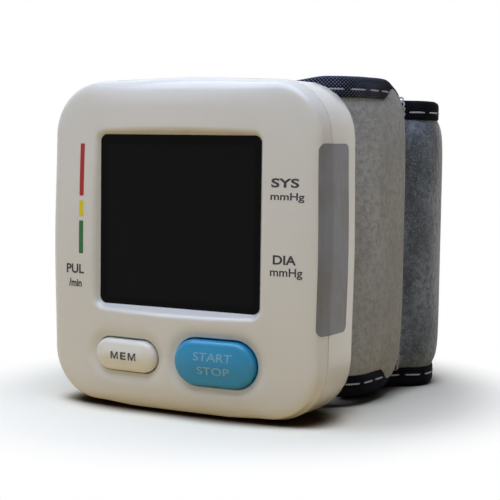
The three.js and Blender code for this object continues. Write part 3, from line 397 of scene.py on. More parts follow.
class Nodes:
    """Node material under construction, with its Principled shader."""

    def __init__(self, name: str) -> None:
        """Starts the material called name.

        Args:
            name: Name of the material.
        """
        self.material = bpy.data.materials.new(name)
        self.material.use_nodes = True
        self.tree = self.material.node_tree
        self.shader = self.tree.nodes["Principled BSDF"]
        self.places = self.add("ShaderNodeTexCoord").outputs

    def add(self, kind: str, inputs: dict | None = None, **settings: object) -> bpy.types.Node:
        """Adds a node, sets its properties and fills or links its inputs.

        Args:
            kind: Blender's name of the node type.
            inputs: Values or output sockets by input name or number.
            settings: Properties of the node.

        Returns:
            The new node.
        """
        node = self.tree.nodes.new(kind)
        for key, value in settings.items():
            setattr(node, key, value)
        for key, value in (inputs or {}).items():
            self.feed(node.inputs[key], value)
        return node

    def feed(self, socket: Socket, value: object) -> None:
        """Links a socket to an output, or gives it a value.

        Args:
            socket: The input socket.
            value: An output socket or a plain value.
        """
        if isinstance(value, Socket):
            self.tree.links.new(value, socket)
        else:
            socket.default_value = value

    def set(self, **values: object) -> None:
        """Sets inputs of the Principled shader, written with _ for a space."""
        for key, value in values.items():
            self.feed(self.shader.inputs[key.replace("_", " ")], value)

    def noise(
        self, size: float, detail: float = 2.0, stretch: Colour = (1, 1, 1), rough: float = 0.5
    ) -> Socket:
        """Noise of a size in millimetres over the object.

        Args:
            size: Size of its blobs.
            detail: Octaves.
            stretch: Scale by axis.
            rough: Weight of the octaves.

        Returns:
            The output socket of the noise.
        """
        scaled = self.add("ShaderNodeMapping", {"Vector": self.places["Object"], "Scale": stretch})
        values = {"Vector": scaled.outputs[0], "Scale": 1 / (size * MM), "Detail": detail, "Roughness": rough}
        return self.add("ShaderNodeTexNoise", values).outputs["Fac"]

    def cells(self, size: float, feature: str = "F1", jitter: float = 1.0) -> Socket:
        """Distance within cells of a size in millimetres, from their points or to their edges."""
        values = {"Vector": self.places["Object"], "Scale": 1 / (size * MM), "Randomness": jitter}
        return self.add("ShaderNodeTexVoronoi", values, feature=feature).outputs["Distance"]

    def math(self, operation: str, a: object, b: object = 0.0) -> Socket:
        """Result of a maths node."""
        return self.add("ShaderNodeMath", {0: a, 1: b}, operation=operation).outputs[0]

    def product(self, first: Socket, *factors: object) -> Socket:
        """Product of a socket and other sockets or numbers.

        Args:
            first: Socket that is multiplied.
            factors: Sockets or numbers.

        Returns:
            The output socket of the product.
        """
        for factor in factors:
            first = self.math("MULTIPLY", first, factor)
        return first

    def wave(self, way: Socket, pitch: float) -> Socket:
        """Sine along a way of the pattern, with a pitch in millimetres."""
        return self.math("SINE", self.product(way, math.tau / pitch))

    def fade(
        self, value: Socket, low: float, high: float, to_low: float = 0.0, to_high: float = 1.0
    ) -> Socket:
        """Smooth map of a value from one range to another.

        Args:
            value: Socket that varies.
            low: Start of its range.
            high: End of its range.
            to_low: Result at the start.
            to_high: Result at the end.

        Returns:
            The output socket of the map.
        """
        inputs = {"Value": value, "From Min": low, "From Max": high, "To Min": to_low, "To Max": to_high}
        return self.add("ShaderNodeMapRange", inputs, interpolation_type="SMOOTHSTEP").outputs[0]

    def mottle(
        self,
        size: float,
        detail: float = 2.0,
        to_low: float = 0.0,
        to_high: float = 1.0,
        spread: tuple[float, float] = (0.3, 0.7),
        stretch: Colour = (1, 1, 1),
    ) -> Socket:
        """Noise that fades between two values.

        Args:
            size: Size of its blobs in millimetres.
            detail: Octaves.
            to_low: Result where the noise is thin.
            to_high: Result where it is dense.
            spread: Values of the noise between which it fades.
            stretch: Scale by axis.

        Returns:
            The output socket of the fade.
        """
        return self.fade(self.noise(size, detail, stretch), *spread, to_low, to_high)

    def blend(self, share: Socket, first: object, second: object) -> Socket:
        """Mix of two colours, each written 0 to 255 or given as a socket.

        Args:
            share: Share of the second.
            first: Colour at 0.
            second: Colour at 1.

        Returns:
            The output socket of the mix.
        """
        node = self.add("ShaderNodeMix", data_type="RGBA")
        ends = [c if isinstance(c, Socket) else linear(c) for c in (first, second)]
        for number, value in zip((0, 6, 7), (share, *ends)):
            self.feed(node.inputs[number], value)
        return node.outputs[2]

    def bump(
        self, height: Socket, depth: float, strength: float = 1.0, below: Socket | None = None
    ) -> Socket:
        """Bump of a depth in millimetres.

        Args:
            height: Socket with the height from 0 to 1.
            depth: Depth of a full step.
            strength: Strength from 0 to 1.
            below: Normal of another bump.

        Returns:
            The normal's output socket.
        """
        inputs = {"Height": height, "Strength": strength, "Distance": depth * MM}
        return self.add("ShaderNodeBump", inputs if below is None else {**inputs, "Normal": below}).outputs[0]

    def split(self, place: str) -> tuple[Socket, Socket, Socket]:
        """The three parts of the Object or the UV place; UV is the piece's own pattern in millimetres."""
        return tuple(self.add("ShaderNodeSeparateXYZ", {0: self.places[place]}).outputs)


@dataclass(frozen=True)
class Finish(ABC):
    """A surface finish that makes its material once."""

    name: str
    made: ClassVar[dict[str, bpy.types.Material]] = {}

    def material(self) -> bpy.types.Material:
        """The finish's material, made the first time it is asked for.

        Returns:
            The material.
        """
        if self.name not in Finish.made:
            nodes = Nodes(self.name)
            self.dress(nodes)
            Finish.made[self.name] = nodes.material
        return Finish.made[self.name]

    @abstractmethod
    def dress(self, nodes: Nodes) -> None:
        """Fills the material's nodes.

        Args:
            nodes: Nodes of the material.
        """

    def put_on(self, obj: Piece) -> None:
        """Gives an object this finish in every slot.

        Args:
            obj: The object.
        """
        if not obj.material_slots:
            obj.data.materials.append(self.material())
        for slot in obj.material_slots:
            slot.link = "OBJECT"
            slot.material = self.material()


@dataclass(frozen=True)
class MouldedPlastic(Finish):
    """Injection-moulded plastic: a soft gloss over a very fine spark texture and slight clouding."""

    colour: Colour = (219, 218, 213)
    cloud: Colour = (215, 213, 206)
    roughness: float = 0.25
    grain: float = 0.35
    grain_depth: float = 0.004
    coat: float = 0.0

    def dress(self, nodes: Nodes) -> None:
        """Clouds the colour, varies the gloss and adds the grain.

        Args:
            nodes: Nodes of the material.
        """
        clouds = nodes.mottle(24, spread=(0.3, 0.8))
        smears = nodes.mottle(9, 3, self.roughness * 0.93, self.roughness * 1.08)
        grain = nodes.bump(nodes.noise(self.grain), self.grain_depth, 0.5)
        nodes.set(Base_Color=nodes.blend(clouds, self.colour, self.cloud), Roughness=smears, Normal=grain)
        nodes.set(Coat_Weight=self.coat, Coat_Roughness=0.08)


@dataclass(frozen=True)
class SmokedLens(Finish):
    """Smoked acrylic lens, with the glass of the display faintly lighter behind it."""

    colour: Colour = (4, 4, 4)
    glass: Colour = (11, 13, 12)
    dust: Colour = (120, 122, 120)
    half_width: float = 18.9
    half_height: float = 17.4
    centre_z: float = 42.8
    soft: float = 0.5

    def dress(self, nodes: Nodes) -> None:
        """Draws the display's glass behind the lens and a little dust on it.

        Args:
            nodes: Nodes of the material.
        """
        x, _, z = nodes.split("Object")
        shown = [
            nodes.fade(nodes.math("ABSOLUTE", way), (half - self.soft) * MM, (half + self.soft) * MM, 1, 0)
            for way, half in (
                (x, self.half_width),
                (nodes.math("SUBTRACT", z, self.centre_z * MM), self.half_height),
            )
        ]
        dust = nodes.product(nodes.mottle(0.3, 1, spread=(0.76, 0.82)), 0.12)
        base = nodes.blend(nodes.product(*shown), self.colour, self.glass)
        nodes.set(Base_Color=nodes.blend(dust, base, self.dust))
        nodes.set(Roughness=nodes.mottle(9, 3, 0.05, 0.08), Specular_IOR_Level=0.06)


@dataclass(frozen=True)
class Velour(Finish):
    """Brushed loop velour: mottled where the pile lies over, with a sheen and single fibres."""

    colour: Colour = (178, 181, 184)
    shade: Colour = (146, 148, 151)
    light: Colour = (208, 211, 214)
    patch: float = 7.0
    contrast: float = 0.5
    sheen: float = 0.22
    pile: float = 1.4
    fibre: float = 0.3

    def dress(self, nodes: Nodes) -> None:
        """Mottles the pile at three sizes and roughens it.

        Args:
            nodes: Nodes of the material.
        """
        pile = nodes.noise(self.pile, 4, rough=0.62)
        brushed = nodes.noise(self.patch, 3, (1, 1, 0.45))
        fibres = nodes.noise(self.fibre, 2, (1, 1, 0.7), 0.7)
        base = nodes.blend(nodes.fade(brushed, 0.3, 0.7, 0, self.contrast), self.colour, self.shade)
        base = nodes.blend(nodes.fade(pile, 0.38, 0.66, 0, 0.75), base, self.shade)
        base = nodes.blend(nodes.fade(fibres, 0.52, 0.72, 0, 0.42), base, self.light)
        relief = None
        for height, depth, strength in ((brushed, 0.5, 0.6), (pile, 0.42, 0.85), (fibres, 0.12, 0.8)):
            relief = nodes.bump(height, depth, strength, relief)
        nodes.set(Base_Color=base, Roughness=0.95, Normal=relief, Specular_IOR_Level=0.1)
        nodes.set(Sheen_Weight=self.sheen, Sheen_Roughness=0.4)


@dataclass(frozen=True)
class WovenTape(Finish):
    """Woven nylon tape in a dot weave, its pale threads painted brightest near the housing as a painted
    highlight where the light falls on the tape.
    """

    colour: Colour = (4, 4, 6)
    thread: Colour = (132, 140, 170)
    pitch: float = 0.85
    lit_fade: tuple[float, float] = (32.0, 54.0)

    def dress(self, nodes: Nodes) -> None:
        """Weaves the tape along its own pattern.

        Args:
            nodes: Nodes of the material.
        """
        along, across, _ = nodes.split("UV")
        crossings = nodes.product(nodes.wave(along, self.pitch), nodes.wave(across, self.pitch))
        dots = nodes.product(nodes.fade(crossings, 0.0, 0.7), 0.94)
        rows = nodes.fade(nodes.wave(across, 2 * self.pitch), -1, 1, 0, 0.06)
        weave = nodes.math("ADD", dots, rows)
        worn = nodes.mottle(4, 3, 0.5, 1.0, (0.35, 0.7))
        # Painted highlight along with wear: the pale threads show fully near the housing, where the light
        # falls on the tape, and fade to a tenth further along; the mottle is wear.
        kept = nodes.product(worn, nodes.fade(along, *self.lit_fade, 1.0, 0.1))
        shown = nodes.product(weave, kept)
        nodes.set(Base_Color=nodes.blend(shown, self.colour, self.thread), Roughness=0.72)
        nodes.set(Normal=nodes.bump(weave, 0.12, 0.7), Specular_IOR_Level=0.03)


@dataclass(frozen=True)
class Lining(Finish):
    """Plain-woven nylon lining that lies against the wrist."""

    colour: Colour = (44, 47, 54)
    light: Colour = (64, 68, 78)
    pitch: float = 0.5

    def dress(self, nodes: Nodes) -> None:
        """Crosses two threads and fades them over the cloth.

        Args:
            nodes: Nodes of the material.
        """
        along, across, _ = nodes.split("UV")
        threads = nodes.math("MAXIMUM", nodes.wave(along, self.pitch), nodes.wave(across, self.pitch))
        weave = nodes.fade(threads, -0.6, 1)
        shown = nodes.product(weave, nodes.mottle(8, 3, 0.2, 0.7))
        nodes.set(Base_Color=nodes.blend(shown, self.colour, self.light), Roughness=0.85)
        nodes.set(Normal=nodes.bump(weave, 0.08, 0.6), Sheen_Weight=0.1)


@dataclass(frozen=True)
class HookTape(Finish):
    """Moulded hook tape: rows of tiny hooks."""

    colour: Colour = (26, 27, 30)
    hook: Colour = (70, 72, 76)
    pitch: float = 1.3

    def dress(self, nodes: Nodes) -> None:
        """Stands the hooks in staggered rows.

        Args:
            nodes: Nodes of the material.
        """
        hooks = nodes.fade(nodes.cells(self.pitch), 0.15, 0.55, 1, 0)
        nodes.set(Base_Color=nodes.blend(hooks, self.colour, self.hook), Roughness=0.55)
        nodes.set(Normal=nodes.bump(hooks, 0.5, 0.9))


@dataclass(frozen=True)
class Metal(Finish):
    """Drawn or turned steel, brushed one way."""

    colour: Colour = (186, 188, 192)
    stain: Colour = (140, 140, 143)
    stretch: Colour = (1, 1, 0.05)
    roughness: float = 0.32

    def dress(self, nodes: Nodes) -> None:
        """Brushes the metal.

        Args:
            nodes: Nodes of the material.
        """
        lines = nodes.noise(0.5, 3, self.stretch)
        stains = nodes.mottle(3, 3, 0, 0.35, (0.4, 0.75))
        nodes.set(Base_Color=nodes.blend(stains, self.colour, self.stain), Metallic=1.0)
        nodes.set(Roughness=nodes.fade(lines, 0.3, 0.7, self.roughness * 0.7, self.roughness * 1.3))
        nodes.set(Normal=nodes.bump(lines, 0.01, 0.4))


@dataclass(frozen=True)
class Jacket(Finish):
    """Plain shrink jacket of a cell, with a paler band at one end."""

    colour: Colour = (68, 71, 77)
    band: Colour = (176, 140, 74)
    band_z: float = 45.0

    def dress(self, nodes: Nodes) -> None:
        """Draws the band and the foil's fine lines.

        Args:
            nodes: Nodes of the material.
        """
        band = nodes.fade(nodes.split("Object")[2], self.band_z * MM, (self.band_z + 0.3) * MM)
        nodes.set(Base_Color=nodes.blend(band, self.colour, self.band), Metallic=0.4)
        nodes.set(Roughness=nodes.mottle(2, 3, 0.28, 0.42, stretch=(1, 1, 0.1)))


@dataclass(frozen=True)
class Rubber(Finish):
    """Silicone or bladder film: a soft skin with a powdery bloom."""

    colour: Colour = (205, 208, 210)
    bloom: Colour = (226, 228, 229)
    roughness: float = 0.55

    def dress(self, nodes: Nodes) -> None:
        """Blooms the skin.

        Args:
            nodes: Nodes of the material.
        """
        bloom = nodes.mottle(2.5, 4, 0, 0.7, (0.35, 0.7))
        nodes.set(Base_Color=nodes.blend(bloom, self.colour, self.bloom), Roughness=self.roughness)
        nodes.set(Normal=nodes.bump(nodes.noise(0.6), 0.02, 0.5))


@dataclass(frozen=True)
class CircuitBoard(Finish):
    """Green solder mask over tracks, with pads of tin."""

    mask: Colour = (22, 84, 48)
    track: Colour = (44, 122, 70)
    tin: Colour = (176, 178, 176)

    def dress(self, nodes: Nodes) -> None:
        """Lays blocky tracks under the mask and scatters pads.

        Args:
            nodes: Nodes of the material.
        """
        tracks = nodes.fade(nodes.cells(2.2, "DISTANCE_TO_EDGE", 0.25), 0.06, 0.12, 1, 0)
        pads = nodes.fade(nodes.cells(3.1), 0.14, 0.17, 1, 0)
        base = nodes.blend(tracks, self.mask, self.track)
        nodes.set(Base_Color=nodes.blend(pads, base, self.tin), Metallic=pads, Roughness=0.35)
        nodes.set(Normal=nodes.bump(tracks, 0.03, 0.6))


@dataclass(frozen=True)
class Ink(Finish):
    """Pad-printed ink, a little uneven at its edges and gloss."""

    colour: Colour = (38, 38, 42)
    paper: float = 220.0
    thin: float = 0.35

    def dress(self, nodes: Nodes) -> None:
        """Thins the ink in small spots.

        Args:
            nodes: Nodes of the material.
        """
        pale = tuple(c + (self.paper - c) * self.thin for c in self.colour)
        spots = nodes.mottle(0.35, 3, 0, 0.22, (0.5, 0.8))
        nodes.set(Base_Color=nodes.blend(spots, self.colour, pale), Roughness=0.5)
        nodes.set(Normal=nodes.bump(nodes.noise(0.2, 1), 0.004, 0.4))


@dataclass(frozen=True)
class Foil(Finish):
    """Satin silver label foil."""

    colour: Colour = (108, 108, 113)
    warm: Colour = (101, 98, 94)

    def dress(self, nodes: Nodes) -> None:
        """Grains the foil along its length.

        Args:
            nodes: Nodes of the material.
        """
        grain = nodes.noise(0.5, 3, (1, 1, 0.1))
        clouds = nodes.mottle(9, 2, spread=(0.35, 0.7))
        nodes.set(Base_Color=nodes.blend(clouds, self.colour, self.warm), Metallic=0.35)
        nodes.set(Roughness=nodes.fade(grain, 0.3, 0.7, 0.36, 0.5), Normal=nodes.bump(grain, 0.004, 0.3))


@dataclass(frozen=True)
class Thread(Finish):
    """Twisted sewing thread."""

    colour: Colour = (196, 197, 204)
    dark: Colour = (128, 130, 140)
    twist: float = 9.0

    def dress(self, nodes: Nodes) -> None:
        """Twists the thread along its own pattern.

        Args:
            nodes: Nodes of the material.
        """
        along, across, _ = nodes.split("UV")
        turn = nodes.math("ADD", nodes.product(along, self.twist), nodes.product(across, math.tau))
        twist = nodes.fade(nodes.math("SINE", turn), -0.6, 0.8)
        nodes.set(Base_Color=nodes.blend(twist, self.dark, self.colour), Roughness=0.7)
        nodes.set(Normal=nodes.bump(twist, 0.05, 0.7), Sheen_Weight=0.2)


IVORY = MouldedPlastic("ivory_plastic_finish", coat=0.35)
IVORY_BUTTON = MouldedPlastic("ivory_button_finish", (228, 227, 219), (224, 222, 210), 0.3, coat=0.15)
BLUE_BUTTON = MouldedPlastic("blue_button_finish", (4, 146, 198), (2, 134, 182), 0.3, coat=0.15)
VELOUR_LIGHT = Velour("velour_light_finish")
# The strap's velour is the flap's fabric painted darker and cooler: painted shade for the shadow that the
# strap lies in.
VELOUR_SHADED = Velour(
    "velour_dark_finish", (138, 148, 160), (74, 80, 88), (196, 208, 224), patch=9.0, contrast=1.0, sheen=0.9
)
TAPE = WovenTape("woven_binding_finish")
LINING = Lining("cuff_lining_finish")
HOOKS = HookTape("hook_tape_finish")
THREAD = Thread("thread_finish")
LABEL_FOIL = Foil("label_foil_finish")

SLOT_FINISHES: dict[str, Finish] = {
    "ivory_plastic": IVORY,
    "ivory_button": IVORY_BUTTON,
    "blue_button": BLUE_BUTTON,
    "dark_lens": SmokedLens("smoked_lens_finish"),
    "lcd_glass": MouldedPlastic("lcd_glass_finish", (74, 82, 76), (68, 76, 72), 0.12, coat=0.5),
    "dark_plastic": MouldedPlastic("dark_plastic_finish", (40, 42, 46), (34, 36, 40), 0.5, 0.5, 0.02),
    "white_plastic": MouldedPlastic(
        "white_plastic_finish", (214, 214, 209), (204, 204, 198), 0.45, 0.6, 0.01
    ),
    "circuit_board": CircuitBoard("circuit_board_finish"),
    "steel": Metal("steel_finish"),
    "cell_jacket": Jacket("cell_jacket_finish"),
    "silicone": Rubber("silicone_finish"),
    "bladder_film": Rubber("bladder_film_finish", (84, 88, 94), (104, 108, 113), 0.5),
    "velour_light": VELOUR_LIGHT,
    "velour_dark": VELOUR_SHADED,
    "woven_binding": TAPE,
    "cuff_lining": LINING,
    "hook_tape": HOOKS,
}


class InkColour(Enum):
    """Inks printed on the face and the buttons."""

    DARK = Ink("dark_ink_finish")
    GREY = Ink("grey_ink_finish", (62, 62, 64))
    PALE = Ink("pale_ink_finish", (128, 176, 196))
    RED = Ink("red_ink_finish", (162, 8, 14))
    YELLOW = Ink("yellow_ink_finish", (222, 204, 14))
    GREEN = Ink("green_ink_finish", (4, 94, 30))


def fitted(piece: Piece, finish: Finish, body: str, slot: str = "", node: str = "") -> Piece:
    """Dresses a rigid piece and says what carries it.

    Args:
        piece: The piece.
        finish: Its finish.
        body: Body that it rides on.
        slot: Material slot that it would take its finish from, if it has one; not used.
        node: CAD node that it stands for, if there is one.

    Returns:
        The piece.
    """
    finish.put_on(piece)
    if node:
        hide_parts(node)
    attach(piece, body)
    return piece


# ---------------------------------------------------------------- housing


@dataclass(frozen=True)
class Pill:
    """A pill-shaped button and its opening."""

    name: str
    x: float
    z: float
    width: float
    height: float
    proud: float

    @property
    def reach(self) -> float:
        """Distance from the middle to the centre of each round end."""
        return (self.width - self.height) / 2

    def distance(self, points: np.ndarray) -> np.ndarray:
        """Distance out of the pill's edge at rows of x and z."""
        along = np.clip(points[:, 0] - self.x, -self.reach, self.reach)
        return np.hypot(points[:, 0] - self.x - along, points[:, 1] - self.z) - self.height / 2

    def ring(self, grow: float, steps: int = 24, side: int = 10) -> np.ndarray:
        """Edge of the pill grown by a distance, as rows of x and z.

        Args:
            grow: Distance out of the pill's own edge.
            steps: Steps round each end.
            side: Steps along each straight side.

        Returns:
            Rows of x and z.
        """
        radius = self.height / 2 + grow
        points = []
        for turn, sign in enumerate((1, -1)):
            centre = (self.x + sign * self.reach, self.z)
            points.extend(arc(centre, radius, math.pi * turn - QUARTER, math.pi * turn + QUARTER, steps))
            for step in range(1, side):
                at = self.x + sign * self.reach * (1 - 2 * step / side)
                points.append((at, self.z + sign * radius))
        return np.array(points)


MEM = Pill("mem_button", -12.8, 12.55, 16.4, 7.2, 0.8)
START = Pill("start_button", 10.4, 12.7, 19.5, 10.2, 1.05)


@dataclass(frozen=True)
class HousingForm:
    """Sizes and surfaces of the moulded housing, shared by all that sits on it."""

    width: float = 69.6
    height: float = 74.6
    corner: float = 12.6
    side_bow: float = 0.4
    top_bow: float = 0.6
    foot_bow: float = 0.6
    foot_ramp: float = 0.25
    wall: float = 1.9
    seam_y: float = -4.0
    wall_y: float = -7.0
    front_y: float = -11.5
    draft: float = 0.6
    fillet: float = 6.0
    fillet_pace: float = 2.55
    crown_across: float = 230.0
    crown_up: float = 420.0
    slide: float = 0.35
    dish: tuple[float, float] = (2.55, 0.45)
    dish_depth: float = 0.8

    @property
    def centre_z(self) -> float:
        """Height of the middle of the face."""
        return (self.height + self.foot_bow) / 2

    @property
    def span(self) -> float:
        """X of the centres of the right corners."""
        return self.width / 2 - self.corner

    @property
    def low(self) -> float:
        """Height of the centres of the lower corners."""
        return self.foot_bow + self.corner

    @property
    def high(self) -> float:
        """Height of the centres of the upper corners."""
        return self.height - self.corner

    def side_out(self, z: np.ndarray) -> np.ndarray:
        """How far the side walls bow out at each height."""
        up = np.clip((z - self.low) / (self.high - self.low), 0, 1)
        return self.side_bow * np.sin(np.pi * up) ** 2

    def outline(self, inset: float, corner_steps: int = 16, side_steps: int = 24) -> np.ndarray:
        """Bowed outline seen from the front, anticlockwise, moved in by an inset.

        Args:
            inset: Distance in from the outer outline.
            corner_steps: Steps in each corner.
            side_steps: Steps along each side.

        Returns:
            Rows of x and z.
        """
        radius = self.corner - inset
        corners = [
            (self.span, self.high, self.top_bow, (0, 1)),
            (-self.span, self.high, self.side_bow, (-1, 0)),
            (-self.span, self.low, self.foot_bow, (0, -1)),
            (self.span, self.low, self.side_bow, (1, 0)),
        ]
        points = []
        for index, (x, z, bow, out) in enumerate(corners):
            turn = QUARTER * index
            points.extend(arc((x, z), radius, turn, turn + QUARTER, corner_steps))
            last, follow = points[-1], np.subtract(corners[(index + 1) % 4][:2], (x, z))
            for share in np.arange(1, side_steps) / side_steps:
                foot = smooth(min(share, 1 - share), 0, self.foot_ramp)
                lift = bow * (foot if out == (0, -1) else math.sin(math.pi * share) ** 2)
                points.append(last + follow * share + np.array(out) * lift)
        return np.array(points)

    def crown(self, points: np.ndarray) -> np.ndarray:
        """Y of the plain crowned face at rows of x and z."""
        x, z = points[:, 0], points[:, 1] - self.centre_z
        return self.front_y + x * x / (2 * self.crown_across) + z * z / (2 * self.crown_up)

    def inset(self, points: np.ndarray) -> tuple[np.ndarray, np.ndarray]:
        """How far places on the face lie in from the outline.

        Args:
            points: Rows of x and z.

        Returns:
            The distance from each to the outline, and the way out to it.
        """
        x, z = points.T
        across = np.clip((x / self.span + 1) / 2, 0, 1)
        foot = self.foot_bow * (1 - smooth(np.minimum(across, 1 - across), 0, self.foot_ramp))
        right = self.width / 2 + self.side_out(z) - np.abs(x)
        top = self.height + self.top_bow * np.sin(np.pi * across) ** 2 - z
        gaps = np.array([right, top, z - foot])
        none, one = np.zeros(len(x)), np.ones(len(x))
        ways = np.array([[np.sign(x), none], [none, one], [none, -one]])
        gap, way = gaps.min(axis=0), ways[np.argmin(gaps, axis=0), :, np.arange(len(x))]
        past = np.column_stack([x - np.clip(x, -self.span, self.span), z - np.clip(z, self.low, self.high)])
        reach = np.linalg.norm(past, axis=1)
        cornered = np.all(past != 0, axis=1)
        gap = np.where(cornered, self.corner - reach, gap)
        return gap, np.where(cornered[:, None], past / np.maximum(reach, 1e-9)[:, None], way)

    def rolled(
        self, edge: np.ndarray, own: np.ndarray, turn: np.ndarray | float, wall: float = 0.0
    ) -> np.ndarray:
        """Y on the fillet between the side wall and the crowned face.

        Args:
            edge: Y of the crown at the inner end of the fillet.
            own: Y of the crown at the place itself.
            turn: Angle round the fillet, a quarter turn at its inner end.
            wall: Distance under the outer surface.

        Returns:
            Y of the surface.
        """
        rise = np.sin(turn)
        top = edge + (own - edge) * rise**4
        return self.wall_y + wall + (top - self.wall_y) * rise

    def shell(self, points: np.ndarray, wall: float = 0.0) -> np.ndarray:
        """Y of the plain face and its fillet, or of the surface one wall under them.

        Args:
            points: Rows of x and z.
            wall: Distance under the outer surface.

        Returns:
            Y at each of the points.
        """
        gap, way = self.inset(points)
        left = wall + self.draft + self.fillet - gap
        edge = self.crown(points - way * np.maximum(left, 0)[:, None])
        return self.rolled(edge, self.crown(points), np.arccos(np.clip(left / self.fillet, 0, 1)), wall)

    def shell_ring(self, angle: float, wall: float = 0.0) -> np.ndarray:
        """Ring of the front fillet at an angle from the wall, or one wall under it.

        Args:
            angle: Angle round the fillet.
            wall: Distance under the outer surface.

        Returns:
            Points in space.
        """
        ring = self.outline(wall + self.draft + self.fillet * (1 - math.cos(angle)))
        edge = self.crown(self.outline(wall + self.draft + self.fillet))
        return stand(ring, self.rolled(edge, self.crown(ring), angle, wall))

    def face(self, points: np.ndarray) -> np.ndarray:
        """Y of the face with its fillet and its two dishes."""
        dishes = sum(smooth(pill.distance(points), *self.dish) for pill in (MEM, START))
        return self.shell(points) + self.dish_depth * dishes

    def on_face(self, points: np.ndarray, proud: float = 0.0) -> np.ndarray:
        """Points of the face in space, for rows of x and z, standing proud by a distance."""
        return stand(points, self.face(points) - proud)

    def under_face(self, points: np.ndarray) -> np.ndarray:
        """Points inside the face, one wall under it, for rows of x and z."""
        return stand(points, self.shell(points, self.wall))

    def on_side(self, places: np.ndarray, proud: float) -> np.ndarray:
        """Points of the right wall and the start of the front fillet.

        Args:
            places: Rows of the distance back from the start of the fillet, below 0 on the fillet
                itself, and the height.
            proud: Distance out of the surface.

        Returns:
            Points in space.
        """
        back, z = places.T
        turn = np.clip(-back / self.fillet_pace, 0, QUARTER)
        inset = self.draft + self.fillet * (1 - np.cos(turn))
        right = self.width / 2 + self.side_out(z)
        edge = self.crown(np.column_stack([np.full_like(z, self.width / 2 - self.draft - self.fillet), z]))
        own = self.crown(np.column_stack([right - inset, z]))
        on_wall = self.wall_y + np.maximum(back, 0)
        y = np.where(back > 0, on_wall, self.rolled(edge, own, turn))
        lean = self.draft * np.clip((self.seam_y - on_wall) / (self.seam_y - self.wall_y), 0, 1)
        x = right - np.where(back > 0, lean, inset)
        return np.column_stack([x + proud * np.cos(turn), y - proud * np.sin(turn), z])


FORM = HousingForm()


